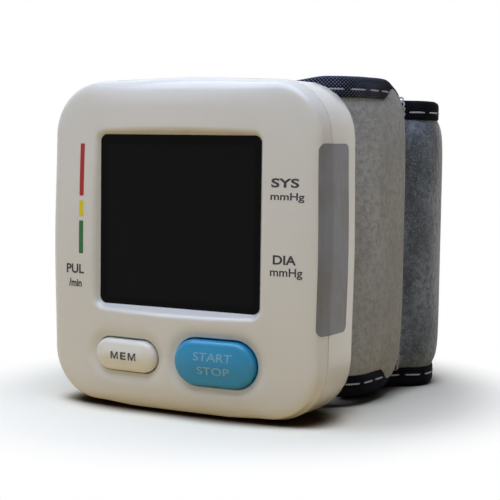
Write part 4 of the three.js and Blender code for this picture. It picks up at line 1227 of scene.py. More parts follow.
@dataclass
class Housing:
    """Front cover and side label; the other rigid pieces are the CAD's own."""

    form: HousingForm
    window: tuple[float, float] = (41.35, 38.5)
    window_middle: tuple[float, float] = (-0.13, 43.15)
    window_corner: float = 1.7
    lens_y: float = -8.7
    lens_back: float = -7.5
    bevel_run: float = 1.6 / 2.8
    bevel_soft: float = 0.75
    bevel_steps: int = 8
    ledge: float = 1.5
    frame_wall: float = 1.6
    lip_radius: float = 0.28
    fillet_steps: int = 9
    patch_from: float = 0.56
    patch_rows: int = 8
    outer_spacing: float = 1.15
    inner_spacing: float = 3.0
    label_middle: tuple[float, float] = (5.0, 40.5)
    label_size: tuple[float, float] = (12.4, 40.8)
    label_corner: float = 1.5
    label_proud: float = 0.16
    label_sunk: float = 0.1

    SEAM: ClassVar[tuple] = ((0.28, 0.0), (0.09, 0.09), (0.0, 0.28), (0.1, 0.5), (0.3, 1.5))
    DISH_GUIDES: ClassVar[tuple] = (0.95, 1.35, 1.8)
    LENS_EDGE: ClassVar[tuple] = ((0.12, 0.21), (0.03, 0.08), (0.0, 0.0))

    def window_ring(self, grow: np.ndarray | float, y: np.ndarray | float) -> np.ndarray:
        """Ring of the window opening, grown by a distance and set at a depth."""
        points, outs = rounded_rect(self.window_middle, *self.window, self.window_corner, 10, 22)
        return stand(points + outs * np.broadcast_to(grow, len(points))[:, None], y)

    def bevel(self) -> list[np.ndarray]:
        """Rings from the face, over the softened edge and down the bevel to the lens.

        Returns:
            The rings, outermost first.
        """
        form = self.form
        meet = 1.0
        for _ in range(4):
            meet = (self.lens_y - form.crown(flat_of(self.window_ring(meet, 0)))) * self.bevel_run
        start = flat_of(self.window_ring(meet + self.bevel_soft, 0))
        start = stand(start, form.crown(start))
        corner = self.window_ring(meet, self.lens_y - meet / self.bevel_run)
        down = meet - 0.7 * self.bevel_soft
        end = self.window_ring(down, self.lens_y - down / self.bevel_run)
        shares = np.linspace(0, 1, self.bevel_steps)
        rings = [start * (1 - t) ** 2 + corner * 2 * t * (1 - t) + end * t * t for t in shares]
        return rings + [self.window_ring(grow, self.lens_y - up) for grow, up in self.LENS_EDGE]

    def lip(self, pill: Pill) -> list[np.ndarray]:
        """Rings from the dish over the rounded lip of a button opening and down its wall.

        Args:
            pill: The button.

        Returns:
            The rings, from the face inwards.
        """
        slide, radius = self.form.slide, self.lip_radius
        face = self.form.face(pill.ring(slide + radius))
        turns = QUARTER * np.linspace(0, 1, 5)
        rings = [
            stand(pill.ring(slide + radius * (1 - math.sin(t))), face + radius * (1 - math.cos(t)))
            for t in turns
        ]
        return [*rings, self.form.under_face(pill.ring(slide))]

    def front_cover(self) -> Piece:
        """Front cover as one closed skin: outside, seam, inside, window frame and button openings.

        Returns:
            The cover.
        """
        form, shape = self.form, Shape()
        angles = QUARTER * np.linspace(0, self.patch_from, self.fillet_steps)
        turned = QUARTER * np.linspace(self.patch_from, 1, self.patch_rows)
        seam = [stand(form.outline(inset), form.seam_y - ahead) for inset, ahead in self.SEAM]
        shape.skin([*seam, *(form.shell_ring(a) for a in angles)])
        bevel, lips = self.bevel(), [self.lip(pill) for pill in (MEM, START)]
        for lip in lips:
            shape.skin(lip)
        outer, *rows = [flat_of(form.shell_ring(a)) for a in turned]
        holes = [flat_of(ring[0]) for ring in (bevel, *lips)]
        guides = [pill.ring(grow) for pill in (MEM, START) for grow in self.DISH_GUIDES]
        shape.patch(outer, self.outer_spacing, form.on_face, holes, guides, rows)
        wide = self.ledge + self.frame_wall
        back_edge = flat_of(self.window_ring(wide, 0))
        back_edge = stand(back_edge, form.crown(back_edge) + form.wall)
        steps = ((self.ledge, self.lens_y), (self.ledge, self.lens_back), (wide, self.lens_back))
        shape.skin(bevel)
        shape.skin([bevel[-1], *(self.window_ring(*step) for step in steps), back_edge])
        foot = stand(form.outline(form.wall), form.seam_y)
        shape.skin([seam[0], foot, *(form.shell_ring(a, form.wall) for a in angles)])
        inner, *rows = [flat_of(form.shell_ring(a, form.wall)) for a in turned]
        holes = [flat_of(ring) for ring in (back_edge, *(lip[-1] for lip in lips))]
        shape.patch(inner, self.inner_spacing, form.under_face, holes, rows=rows)
        cover = shape.build("moulded_front_cover", sharp=42)
        return fitted(cover, IVORY, "housing", "ivory_plastic", "front_cover")

    def label(self) -> Piece:
        """Bare label plate over the parting line of the right wall.

        Returns:
            The label.
        """
        outline, _ = rounded_rect(self.label_middle, *self.label_size, self.label_corner, 6, 16)
        shape = Shape()
        shape.plate(outline, 0.7, self.form.on_side, self.label_proud, self.label_sunk)
        return fitted(shape.build("side_label_plate", sharp=40), LABEL_FOIL, "housing")

    def build(self) -> list[Piece]:
        """Makes the cover and the label."""
        return [self.front_cover(), self.label()]


@dataclass
class Button:
    """A crowned pill button with its flange and stem."""

    pill: Pill
    finish: Finish
    slot: str
    edge: float = 1.2
    edge_steps: int = 8
    crown: float = 0.65
    flange: float = 0.9
    flange_y: tuple[float, float] = (-7.9, -7.0)
    stem_radius: float = 1.8
    stem_y: tuple[float, float] = (-7.2, -6.5)

    def top(self, points: np.ndarray) -> np.ndarray:
        """Y of the button's top at rows of x and z.

        Args:
            points: Rows of x and z.

        Returns:
            Y at each of them.
        """
        gap = -self.pill.distance(points)
        edge = np.clip(1 - gap / self.edge, 0, 1)
        rolled = self.edge * (1 - np.sqrt(np.clip(1 - edge * edge, 0, 1)))
        swell = self.crown * smooth(gap, 0.2, self.pill.height * 0.48)
        return FORM.crown(points) - self.pill.proud + rolled - swell

    def build(self) -> list[Piece]:
        """Makes the button as one closed skin, and its stem.

        Returns:
            The button alone.
        """
        shape, pill = Shape(), self.pill
        front, back = self.flange_y
        flange = ((self.flange, back), (self.flange, front), (0, front))
        rolled = self.edge * (1 - np.cos(QUARTER * np.arange(self.edge_steps + 1) / self.edge_steps))
        crowned = np.linspace(self.edge, pill.height / 2 - 0.06, self.edge_steps + 1)[1:]
        rings = [stand(pill.ring(grow), y) for grow, y in flange]
        for inset in (*rolled, *crowned):
            ring = pill.ring(-inset)
            rings.append(stand(ring, self.top(ring)))
        shape.skin(rings, capped=True)
        wide = 2 * self.stem_radius
        stem, _ = rounded_rect((pill.x, pill.z), wide, wide, self.stem_radius - 0.01, 6)
        shape.skin([stand(stem, y) for y in self.stem_y], capped=True)
        made = shape.build("moulded_" + pill.name, sharp=60)
        return [fitted(made, self.finish, pill.name, self.slot, pill.name)]


@dataclass(frozen=True)
class Word:
    """A printed word and its box: the lowest x, highest x, lowest z and highest z."""

    name: str
    text: str
    box: tuple[float, float, float, float]
    ink: InkColour = InkColour.DARK
    body: str = "housing"
    weight: float = 0.028


@dataclass
class Print:
    """Generic words and the reading scale, printed on the face and the buttons."""

    form: HousingForm
    buttons: Sequence[Button]
    depth: float = 0.03
    stem: float = 0.17
    m_width: float = 0.3
    e_box: tuple[float, float] = (0.39, 0.22)
    bar_x: tuple[float, float] = (-25.9, -24.66)

    WORDS: ClassVar[tuple] = (
        Word("print_sys", "SYS", (23.6, 29.8, 51.5, 53.45)),
        Word("print_sys_unit", "mmHg", (23.5, 31.0, 48.35, 50.45), weight=0.018),
        Word("print_dia", "DIA", (24.3, 29.5, 35.2, 37.2)),
        Word("print_dia_unit", "mmHg", (23.7, 30.9, 32.15, 34.5), weight=0.018),
        Word("print_pul", "PUL", (-29.7, -24.4, 30.4, 32.55)),
        Word("print_pul_unit", "/min", (-29.0, -25.1, 27.3, 29.15), weight=0.034),
        Word("print_mem", "MEM", (-15.9, -9.0, 11.75, 13.45), InkColour.GREY, "mem_button"),
        Word("print_start", "START", (6.2, 15.5, 13.4, 15.2), InkColour.PALE, "start_button", 0.002),
        Word("print_stop", "STOP", (7.1, 14.9, 10.4, 12.1), InkColour.PALE, "start_button", 0.002),
    )
    BARS: ClassVar[tuple] = (
        ("scale_high", (48.3, 60.2), InkColour.RED),
        ("scale_middle", (43.6, 47.2), InkColour.YELLOW),
        ("scale_low", (35.05, 42.6), InkColour.GREEN),
    )

    def letters(self, text: str, weight: float) -> tuple[np.ndarray, Faces]:
        """Flat letters of the plain font.

        Args:
            text: The word.
            weight: How much thicker the letters are than the font's.

        Returns:
            Flat points and the faces between them.
        """
        curve = bpy.data.curves.new("letters", "FONT")
        curve.body = text
        curve.resolution_u = 6
        curve.offset = weight
        made = linked("letters", curve)
        mesh = evaluated_mesh(made)
        bpy.data.objects.remove(made)
        flat = np.array([v.co[:2] for v in mesh.vertices])
        faces = [tuple(p.vertices) for p in mesh.polygons]
        bpy.data.meshes.remove(mesh)
        return flat, faces

    def straight_mem(self, weight: float) -> tuple[np.ndarray, Faces]:
        """The word on the memory button, with each M of straight strokes, as flat points and faces.

        Args:
            weight: How much thicker the middle letter is than the font's.

        Returns:
            Flat points and the faces between them.
        """
        s = self.stem
        outline = [(0, 0), (s, 0), (s, 0.74), (0.5 - s * 0.45, 0), (0.5 + s * 0.45, 0), (1 - s, 0.74)]
        outline += [(1 - s, 0), (1, 0), (1, 1), (1 - 1.35 * s, 1), (0.5, 0.3), (1.35 * s, 1), (0, 1)]
        first = np.array(outline) * (self.m_width, 1)
        middle, more = self.letters("E", weight)
        middle = (middle - middle.min(axis=0)) / np.ptp(middle, axis=0) * (self.e_box[1], 1)
        points = np.vstack([first, middle + (self.e_box[0], 0), first + (1 - self.m_width, 0)])
        count = len(first)
        faces = [tuple(range(count)), *(tuple(i + count for i in face) for face in more)]
        return points, [*faces, tuple(range(len(points) - count, len(points)))]

    def cut(self, flat: np.ndarray, faces: Faces, step: float = 0.3) -> tuple[np.ndarray, Faces]:
        """Cuts the edges of flat faces to short steps, so that they follow a curved surface.

        Args:
            flat: Flat points.
            faces: The faces between them.
            step: Longest step.

        Returns:
            The points with the new ones behind them, and the faces through all of them.
        """
        points, cuts = list(flat), {}
        for face in faces:
            for a, b in pairs(face):
                if (b, a) in cuts:
                    cuts[(a, b)] = cuts[(b, a)][::-1]
                    continue
                count = int(np.linalg.norm(flat[b] - flat[a]) // step)
                cuts[(a, b)] = list(range(len(points), len(points) + count))
                points.extend(flat[a] + (flat[b] - flat[a]) * i / (count + 1) for i in range(1, count + 1))
        through = [tuple(i for a, b in pairs(face) for i in (a, *cuts[(a, b)])) for face in faces]
        return np.array(points), through

    def word(self, word: Word, surface: Callable[[np.ndarray], np.ndarray]) -> Piece:
        """Prints a word on a surface.

        Args:
            word: The word.
            surface: Y of the surface at rows of x and z.

        Returns:
            The printed word.
        """
        if word.text == "MEM":
            flat, faces = self.straight_mem(word.weight)
        else:
            flat, faces = self.letters(word.text, word.weight)
        low, high = np.array(word.box[::2]), np.array(word.box[1::2])
        flat = low + (flat - flat.min(axis=0)) / np.ptp(flat, axis=0) * (high - low)
        flat, faces = self.cut(flat, faces)
        y = surface(flat)
        proud = self.depth if word.body == "housing" else 2 * self.depth
        shape = Shape()
        shape.slab(stand(flat, y - proud), stand(flat, y + self.depth), faces)
        return fitted(shape.build(word.name, weld=1e-4, sharp=35), word.ink.value, word.body)

    def bar(self, name: str, z: tuple[float, float], ink: InkColour) -> Piece:
        """Prints a bar of the reading scale between two heights.

        Args:
            name: Its name.
            z: Its lowest and highest z.
            ink: Its ink.

        Returns:
            The bar.
        """
        (left, right), (low, high) = self.bar_x, z
        outline, _ = rounded_rect(((left + right) / 2, (low + high) / 2), right - left, high - low, 0.2, 3, 8)
        shape = Shape()
        shape.plate(outline, 0.6, self.form.on_face, self.depth, self.depth)
        return fitted(shape.build(name, weld=1e-4), ink.value, "housing")

    def build(self) -> list[Piece]:
        """Prints the face and both buttons.

        Returns:
            The words and the bars.
        """
        surfaces = {"housing": self.form.face, **{b.pill.name: b.top for b in self.buttons}}
        words = [self.word(word, surfaces[word.body]) for word in self.WORDS]
        return words + [self.bar(*row) for row in self.BARS]


# ---------------------------------------------------------------- cuff


@dataclass(frozen=True)
class CuffForm:
    """Sizes that both runs of the cuff share."""

    half_width: float = 31.5
    corner: float = 11.5
    base_y: float = 15.55
    foot_z: float = 2.2
    height: float = 74.2
    binding: float = 5.0
    thickness: float = 4.1
    bulge: float = 1.4
    middle_dip: float = 1.1
    hinge_gap: float = 0.35
    bend: tuple[float, float] = (-2.4, 1.4)

    @property
    def top_z(self) -> float:
        """Height of the upper edge."""
        return self.foot_z + self.height

    @property
    def hinge_y(self) -> float:
        """Y at which the base ends and the flap and strap begin."""
        return self.base_y + self.corner

    @property
    def start_y(self) -> float:
        """Y at which the flap and the strap begin."""
        return self.hinge_y + self.hinge_gap

    @property
    def base_length(self) -> float:
        """Length of half the base, to its end at the hinge."""
        return self.half_width - self.corner + QUARTER * self.corner


@dataclass(frozen=True)
class RunSizes:
    """What differs between the two runs, each from the middle of the housing's back."""

    part: str
    sign: int
    upper_radius: float
    lower_radius: float
    thickness: float
    end_binding: float
    end_lift: float
    flare: int
    dip_end: tuple[float, float]
    fabric: Finish
    slot: str

    @property
    def bare(self) -> bool:
        """Whether the end is overlocked, with hardly any tape on it."""
        return self.end_binding < 2


class Side(Enum):
    """The two runs of the cuff."""

    FLAP = RunSizes("flap", 1, 18.0, 16.5, 2.9, 1.2, 0.3, 4, (0.35, 0.62), VELOUR_LIGHT, "velour_light")
    STRAP = RunSizes("strap", -1, 9.0, 9.0, 4.1, 5.0, 0.0, 14, (1.0, 2.2), VELOUR_SHADED, "velour_dark")


@dataclass
class CuffRun:
    """One run of the cuff on its plan path: velour pad, binding, stitches and lining.

    Its pieces are drawn on a flat pattern, with s along the run, n out of its face and z up, and
    then placed on the path.
    """

    form: CuffForm
    side: Side
    flap_reach: float = 14.4
    flap_swell: float = 0.3
    curl_radius: float = 9.0
    curl_turn: float = 0.87
    strap_reach: float = 54.15
    strap_drop: float = 2.2
    strap_taper: float = 2.2
    tuck_x: float = 25.2
    tuck_y: tuple[float, float, float] = (43.2, 35.2, 27.2)
    panel_inset: float = 4.3
    panel_overlap: float = 0.7
    panel_pitch: float = 2.2
    pad_tuck: float = 0.55
    pad_lift: float = 0.35
    pad_back: float = 0.95
    motion_cap: float = 0.55
    held_edge: float = 1.2
    air_pressure: float = 4.0
    cloth_quality: int = 6
    lining_tuck: float = 0.45
    lining_lift: float = 0.35
    lining_thickness: float = 0.3
    stitch_pitch: float = 5.6
    stitch_length: float = 4.4
    stitch_inset: float = 3.1
    stitch_radius: float = 0.21
    loop_pitch: float = 1.6
    loop_radius: float = 0.22
    bare_sunk: float = 0.45

    BASE_NODES: ClassVar[dict] = {
        "velour": ("base_velour",),
        "binding": ("base_binding_upper", "base_binding_lower"),
        "lining": ("base_lining",),
    }
    # Path of the strap: shares of the half width and of its reach.
    STRAP_SHARES: ClassVar[tuple] = (
        *((-1, 0), (-1.07, 0.26), (-1.04, 0.56), (-0.78, 0.86), (-0.15, 1)),
        *((0.5, 0.97), (0.91, 0.81), (1.08, 0.62), (1.05, 0.5), (0.9, 0.425)),
    )
    # Section of the tape: distance in from the edge, and share of the thickness from face to back.
    SECTION: ClassVar[tuple] = (
        *((5.0, 0.17), (4.96, 0.06), (4.8, 0.0), (4.2, -0.015), (3.1, 0.0), (1.9, -0.015)),
        *((1.1, 0.0), (0.5, 0.07), (0.14, 0.22), (0.0, 0.5), (0.14, 0.78), (0.5, 0.93)),
        *((1.1, 1.0), (4.8, 1.0), (5.0, 0.83)),
    )
    # Part of the tape's section that rounds the edge and keeps its size on a narrower tape.
    ROUND: ClassVar[float] = 1.2
    # Ripples of the tape: height, pace along the edge in radians per millimetre, and start.
    RIPPLES: ClassVar[tuple] = ((0.05, 1.12, 0.0), (0.03, 2.9, 1.0))
    # An overlock loop: distance in, height over its face, and share of the thickness down.
    LOOP: ClassVar[tuple] = (
        *((1.9, -0.1, 0), (1.5, 0.12, 0), (0.9, 0.14, 0), (0.3, 0.05, 0), (-0.05, -0.3, 0)),
        *((-0.1, 0.0, 0.5), (-0.05, 0.35, 1), (0.4, 0.05, 1), (1.1, -0.12, 1), (1.7, 0.1, 1)),
    )

    def __post_init__(self) -> None:
        """Lays out the plan path and its lengths."""
        form, sizes = self.form, self.side.value
        self.sizes = sizes
        centre = (form.half_width - form.corner, form.hinge_y)
        base = np.vstack([[(0.0, form.base_y)], arc(centre, form.corner, -QUARTER, 0, 24)])
        if self.side is Side.FLAP:
            outer, bend = form.half_width + self.flap_swell, form.start_y + self.flap_reach
            middle = (outer, (form.start_y + bend) / 2)
            ends = spline([(form.half_width, form.start_y), middle, (outer, bend)])
            curl = arc((outer - self.curl_radius, bend), self.curl_radius, 0, self.curl_turn, 16)[1:]
            path = np.vstack([base, ends, curl])
        else:
            reach = self.strap_reach
            points = [(x * form.half_width, form.start_y + y * reach) for x, y in self.STRAP_SHARES]
            points += [(self.tuck_x, y) for y in self.tuck_y]
            path = np.vstack([base * (-1, 1), spline(points)])
        steps = np.linalg.norm(np.diff(path, axis=0), axis=1)
        self.path = path[np.concatenate([[True], steps > 1e-6])]
        self.along = lengths(self.path)
        self.length = float(self.along[-1])
        slope = np.gradient(self.path, self.along, axis=0)
        slope /= np.linalg.norm(slope, axis=1)[:, None]
        self.normal = sizes.sign * slope[:, ::-1] * (1, -1)

    def level(self, s: np.ndarray, z: np.ndarray) -> np.ndarray:
        """Height of a point of the flat pattern once the cuff is shaped.

        Args:
            s: Place along the run.
            z: Height on the pattern.

        Returns:
            The height in space.
        """
        form = self.form
        part = (z - form.foot_z) / form.height
        z = z - form.middle_dip * (1 - smooth(s / form.base_length, *self.sizes.dip_end)) * part
        if self.side is Side.STRAP:
            z = z - smooth(self.past(s), 0, 0.33) * (self.strap_drop + self.strap_taper * part)
        return z

    def past(self, s: np.ndarray) -> np.ndarray:
        """Share of the way from the hinge to the end of the run, below 0 on the base."""
        return (s - self.form.base_length) / (self.length - self.form.base_length)

    def place(self, s: np.ndarray, n: np.ndarray, z: np.ndarray) -> np.ndarray:
        """Points in space for places of the flat pattern: s along, n out of its face, z up.

        Args:
            s: Place along the run.
            n: Distance out of its face.
            z: Height on the pattern.

        Returns:
            Rows of x, y and z.
        """
        s, n, z = np.broadcast_arrays(*[np.asarray(v, float) for v in (s, n, z)])
        at = [np.interp(s, self.along, column) for column in (*self.path.T, *self.normal.T)]
        return np.column_stack([at[0] + at[2] * n, at[1] + at[3] * n, self.level(s, z)])

    def thickness(self, s: np.ndarray) -> np.ndarray:
        """Thickness of the cuff, thinner past the hinge on the flap."""
        past = smooth(s, self.form.base_length - 1, self.form.base_length + 3)
        return self.form.thickness + (self.sizes.thickness - self.form.thickness) * past

    def swell(self, s: np.ndarray) -> np.ndarray:
        """How far the velour swells along the run, from 0 to 1; the strap's tucked end is flatter."""
        flatter = 0.85 * smooth(self.past(s), 0.83, 0.9) if self.side is Side.STRAP else 0.0
        return smooth(s / self.form.base_length, 0.75, 1) * (1 - flatter)

    def tape_share(self, angle: np.ndarray | float) -> np.ndarray:
        """Share of the long edges' tape at an angle of the outline: 1 on them, 0 round the end."""
        return smooth(np.abs(angle) / QUARTER, 0.78, 1.0)

    def panel_edges(self, s: np.ndarray, inset: float, end: float) -> tuple[np.ndarray, np.ndarray]:
        """Low and high edge of a panel kept in from the outline.

        Args:
            s: Places along the run.
            inset: Distance in from the long edges.
            end: Distance in from the end.

        Returns:
            Heights of the low and the high edge on the flat pattern.
        """
        edges, turns = [], QUARTER * np.linspace(1, 0, 33)
        left = end + (inset - end) * self.tape_share(turns)
        for radius in (self.sizes.lower_radius, self.sizes.upper_radius):
            at = self.length - radius + (radius - left) * np.cos(turns)
            edges.append(np.interp(s, at, radius - (radius - left) * np.sin(turns)))
        return self.form.foot_z + edges[0], self.form.top_z - edges[1]

    def panel(self, rows: int, face: Callable, back: Callable) -> Shape:
        """Closed panel between two surfaces over the pattern, under the tape at its edges.

        Args:
            rows: Faces up the panel.
            face: Height n of its outer face at s, and at t from 0 below to 1 above.
            back: Height n of its inner face.

        Returns:
            The shape, with the points of the outer face first.
        """
        end = self.sizes.end_binding - self.panel_overlap
        turn = max(self.sizes.upper_radius, self.sizes.lower_radius)
        bend = self.length - turn
        run = np.linspace(0, bend, round(bend / self.panel_pitch) + 1)
        s = np.concatenate([run, bend + (turn - end) * np.sin(QUARTER * np.arange(1, 13) / 12)])
        low, high = (np.repeat(edge, rows + 1) for edge in self.panel_edges(s, self.panel_inset, end))
        up, count = rows + 1, len(low)
        starts = [a for a in range(count - up) if a % up < rows]
        faces = [(a, a + 1, a + up + 1, a + up) for a in starts]
        rim = [*range(0, count, up), *range(count - rows, count)]
        rim += [*range(count - up - 1, rows - 1, -up), *range(rows - 1, 0, -1)]
        t = np.tile(np.linspace(0, 1, up), len(s))
        s = np.repeat(s, up)
        z = low + (high - low) * t
        shape = Shape()
        sides = (self.place(s, surface(s, t), z) for surface in (face, back))
        shape.slab(*sides, faces, rim, np.column_stack([s, z]))
        return shape

    def sewn_on(self, piece: Piece, finish: Finish, kind: str = "") -> Piece:
        """Dresses a piece of the run, hides the CAD nodes that it replaces and bakes its placement.

        Args:
            piece: The piece.
            finish: Its finish.
            kind: Kind of the CAD nodes that it stands for, if there are any.

        Returns:
            The piece.
        """
        form, part = self.form, self.sizes.part
        finish.put_on(piece)
        if kind:
            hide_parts(*self.BASE_NODES[kind], f"{part}_{kind}")
        x, z = self.sizes.sign * form.half_width * MM, (form.foot_z + form.height / 2) * MM
        start, end = ((x, (form.hinge_y + reach) * MM, z) for reach in form.bend)
        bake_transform(piece)
        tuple(start)
        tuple(end)
        return piece

    def velour(self) -> Piece:
        """Velour pad, puffed out by air pressure while its edges are held under the binding.

        Returns:
            The pad.
        """
        sizes = self.sizes

        def face(s: np.ndarray, t: np.ndarray) -> np.ndarray:
            """Outer face: tucked under the binding, then swelling.

            Args:
                s: Place along the run.
                t: Place across it, from 0 below to 1 above.

            Returns:
                Height n out of the run's face.
            """
            rise = 1 - np.abs(2 * t - 1) ** sizes.flare
            left = self.length - s
            free = sizes.end_lift * (1 - smooth(left, 2, 9)) * smooth(left, 0.4, 1.6)
            lifted = self.pad_lift * smooth(rise, 0, 0.35) + free
            return lifted - self.pad_tuck + self.form.bulge * self.swell(s) * rise * smooth(left, 0.5, 8)

        shape = self.panel(28, face, lambda s, t: np.full_like(s, -self.pad_back))
        pad = shape.build(sizes.part + "_run_velour", sharp=75)
        self.puff(pad, shape)
        subdivision = pad.modifiers.new("smooth", "SUBSURF")
        subdivision.levels = subdivision.render_levels = 1
        old, mesh = pad.data, evaluated_mesh(pad)
        pad.modifiers.clear()
        pad.data = mesh
        bpy.data.meshes.remove(old)
        mesh.name = pad.name
        mesh.shade_smooth()
        return self.sewn_on(pad, sizes.fabric, "velour")

    def puff(self, pad: Piece, shape: Shape, scale: float = 10.0, frames: int = 20) -> None:
        """Runs the cloth simulation on a pad and keeps its result, with its motion capped.

        Args:
            pad: The pad.
            shape: The shape that it was made from.
            scale: How much larger than life the simulation runs, where it is stable.
            frames: Length of the simulation.
        """
        mesh, half = pad.data, len(shape.points) // 2
        rest = np.array([v.co for v in mesh.vertices])
        sheet, marks = np.array(shape.points[:half]) * MM, np.array(shape.marks[:half])
        low, high = self.panel_edges(marks[:, 0], self.panel_inset, 2)
        edge = np.min([marks[:, 1] - low, high - marks[:, 1], self.length - marks[:, 0]], axis=0)
        free = sheet[edge > self.held_edge]
        near = np.array([np.min(np.sum((free - p) ** 2, axis=1)) < 1e-10 for p in rest])
        group = pad.vertex_groups.new(name="held")
        group.add([int(i) for i in np.flatnonzero(~near)], 1.0, "REPLACE")
        mesh.transform(Matrix.Scale(scale, 4))
        settings = pad.modifiers.new("cloth", "CLOTH").settings
        settings.vertex_group_mass = "held"
        settings.use_pressure = True
        settings.uniform_pressure_force = self.air_pressure
        settings.effector_weights.gravity = 0
        settings.quality = self.cloth_quality
        scene = bpy.context.scene
        for number in range(1, frames + 1):
            scene.frame_set(number)
        shown = pad.evaluated_get(bpy.context.evaluated_depsgraph_get())
        step = np.array([v.co for v in shown.data.vertices]) / scale - rest
        pad.modifiers.clear()
        size = np.linalg.norm(step, axis=1)
        cap = self.motion_cap * MM
        step *= np.where(size > 1e-12, cap * np.tanh(size / cap) / np.maximum(size, 1e-12), 0)[:, None]
        log.info("%s puffed by up to %.2f mm", pad.name, float(np.max(size)) / MM)
        mesh.vertices.foreach_set("co", (rest + step).astype(np.float32).ravel())
        mesh.update()
        scene.frame_set(1)

    def edge_stations(self, pitch: float = 1.1, steps: int = 14) -> np.ndarray:
        """Stations along the upper edge, round the end and back along the lower edge.

        Args:
            pitch: Distance between stations on the straight edges.
            steps: Steps round each corner.

        Returns:
            Rows of the place s and z of the outer edge on the flat pattern, the angle out of the
            pattern there, and the length run so far.
        """
        form, upper, lower = self.form, self.sizes.upper_radius, self.sizes.lower_radius
        length, top, bottom = self.length, form.top_z - upper, form.foot_z + lower

        def straight(start: tuple[float, float], end: tuple[float, float], angle: float) -> np.ndarray:
            """Stations from one place to another."""
            places = np.linspace(start, end, round(math.dist(start, end) / pitch) + 1)
            return np.column_stack([places, np.full(len(places), angle)])

        def corner(radius: float, z: float, start: float, end: float) -> np.ndarray:
            """Stations round a corner, between two angles."""
            places = arc((length - radius, z), radius, start, end, steps)
            return np.column_stack([places, np.linspace(start, end, steps + 1)])

        rows = np.vstack(
            [
                straight((0, form.top_z), (length - upper, form.top_z), QUARTER),
                corner(upper, top, QUARTER, 0)[1:],
                straight((length, top), (length, bottom), 0)[1:-1],
                corner(lower, bottom, 0, -QUARTER),
                straight((length - lower, form.foot_z), (0, form.foot_z), -QUARTER)[1:],
            ]
        )
        return np.column_stack([rows, lengths(rows[:, :2])])

    def binding(self) -> Piece:
        """Tape folded over the edge all round the run.

        Returns:
            The tape.
        """
        rings, marks = [], []
        section, depth = np.array(self.SECTION).T
        full, narrow = self.form.binding, self.sizes.end_binding
        for s, z, angle, done in self.edge_stations():
            share = float(self.tape_share(angle))
            scale = (narrow + (full - narrow) * share - self.ROUND) / (full - self.ROUND)
            inward = np.where(section > self.ROUND, self.ROUND + (section - self.ROUND) * scale, section)
            at_s = np.clip(s - inward * math.cos(angle), 0, self.length)
            ripple = sum(h * math.sin(done * pace + start) for h, pace, start in self.RIPPLES)
            sunk = self.bare_sunk * (1 - share) if self.sizes.bare else 0.0
            n = -depth * self.thickness(at_s) + (ripple - sunk) * (depth < 0.5)
            rings.append(self.place(at_s, n, z - inward * math.sin(angle)))
            across = lengths(np.column_stack([inward, depth * 4]))
            marks.append(np.column_stack([np.full(len(inward), done), across]))
        shape = Shape()
        shape.skin(rings, capped=True, marks=np.concatenate(marks))
        tape = shape.build(self.sizes.part + "_run_binding", sharp=80)
        return self.sewn_on(tape, TAPE, "binding")

    def stitches(self) -> Piece:
        """Row of sewing thread dashes on both faces of the binding, and loops over a bare end.

        Returns:
            The stitches.
        """
        shape, route = Shape(), self.edge_stations(0.55)
        angles, done, bare = route[:, 2], route[:, 3], self.sizes.bare
        for start in np.arange(1.3, done[-1] - self.stitch_length, self.stitch_pitch):
            middle = np.interp(start + self.stitch_length / 2, done, angles)
            if abs(middle) > 0.98 * QUARTER or not bare:
                for outer in (True, False):
                    self.stitch(shape, route, start, outer)
        if bare:
            turned = done[np.abs(angles) < 0.6 * QUARTER]
            for start in np.arange(turned[0], turned[-1], self.loop_pitch):
                self.loop(shape, route, start)
        return self.sewn_on(shape.build(self.sizes.part + "_run_stitches", weld=1e-4, sharp=80), THREAD)

    def sew(
        self,
        shape: Shape,
        route: np.ndarray,
        done: np.ndarray,
        inward: np.ndarray | float,
        n: np.ndarray,
        radius: np.ndarray | float,
        sides: int = 6,
    ) -> None:
        """Adds a thread along places near the edge.

        Args:
            shape: Shape that the thread is added to.
            route: Stations along the edge.
            done: Length run along the edge at each place.
            inward: Distance in from the edge.
            n: Height out of the run's face.
            radius: Radius of the thread.
            sides: Sides of the thread.
        """
        s, z, angle = (np.interp(done, route[:, 3], route[:, k]) for k in range(3))
        path = self.place(s - inward * np.cos(angle), n, z - inward * np.sin(angle))
        along = np.gradient(path, axis=0)
        aside = np.cross(along, (0.31, 0.57, 0.76))
        across = np.cross(along, aside)
        aside, across = (v / np.linalg.norm(v, axis=1)[:, None] for v in (aside, across))
        turns = np.arange(sides) * math.tau / sides
        rings = [
            p + r * (np.outer(np.cos(turns), a) + np.outer(np.sin(turns), b))
            for p, r, a, b in zip(path, np.broadcast_to(radius, len(path)), aside, across)
        ]
        marks = [np.repeat(lengths(path), sides), np.tile(np.arange(sides) / sides, len(path))]
        shape.skin(rings, capped=True, marks=np.column_stack(marks))

    def stitch(self, shape: Shape, route: np.ndarray, start: float, outer: bool) -> None:
        """Adds one stitch that dips into the tape at both ends.

        Args:
            shape: Shape that it is added to.
            route: Stations along the edge.
            start: Length run along the edge where it starts.
            outer: Whether it lies on the outer face.
        """
        t = np.linspace(0, 1, 9)
        arch = np.sin(np.pi * t)
        done = start + t * self.stitch_length
        lift = 0.17 * np.minimum(1, 2.2 * arch) - 0.12
        n = lift if outer else -self.thickness(np.interp(done, route[:, 3], route[:, 0])) - lift
        radius = self.stitch_radius * np.minimum(1, 0.35 + 1.6 * arch)
        self.sew(shape, route, done, self.stitch_inset, n, radius)

    def loop(self, shape: Shape, route: np.ndarray, start: float) -> None:
        """Adds one overlock loop from face to face over the bare end.

        Args:
            shape: Shape that it is added to.
            route: Stations along the edge.
            start: Length run along the edge where it starts.
        """
        inward, rise, share = np.array(self.LOOP).T
        done = start + np.linspace(0, 0.7, len(rise))
        self.sew(shape, route, done, inward, rise - share * self.sizes.thickness, self.loop_radius)

    def lining(self) -> Piece:
        """Lining on the inside, slightly full between its edges.

        Returns:
            The lining.
        """

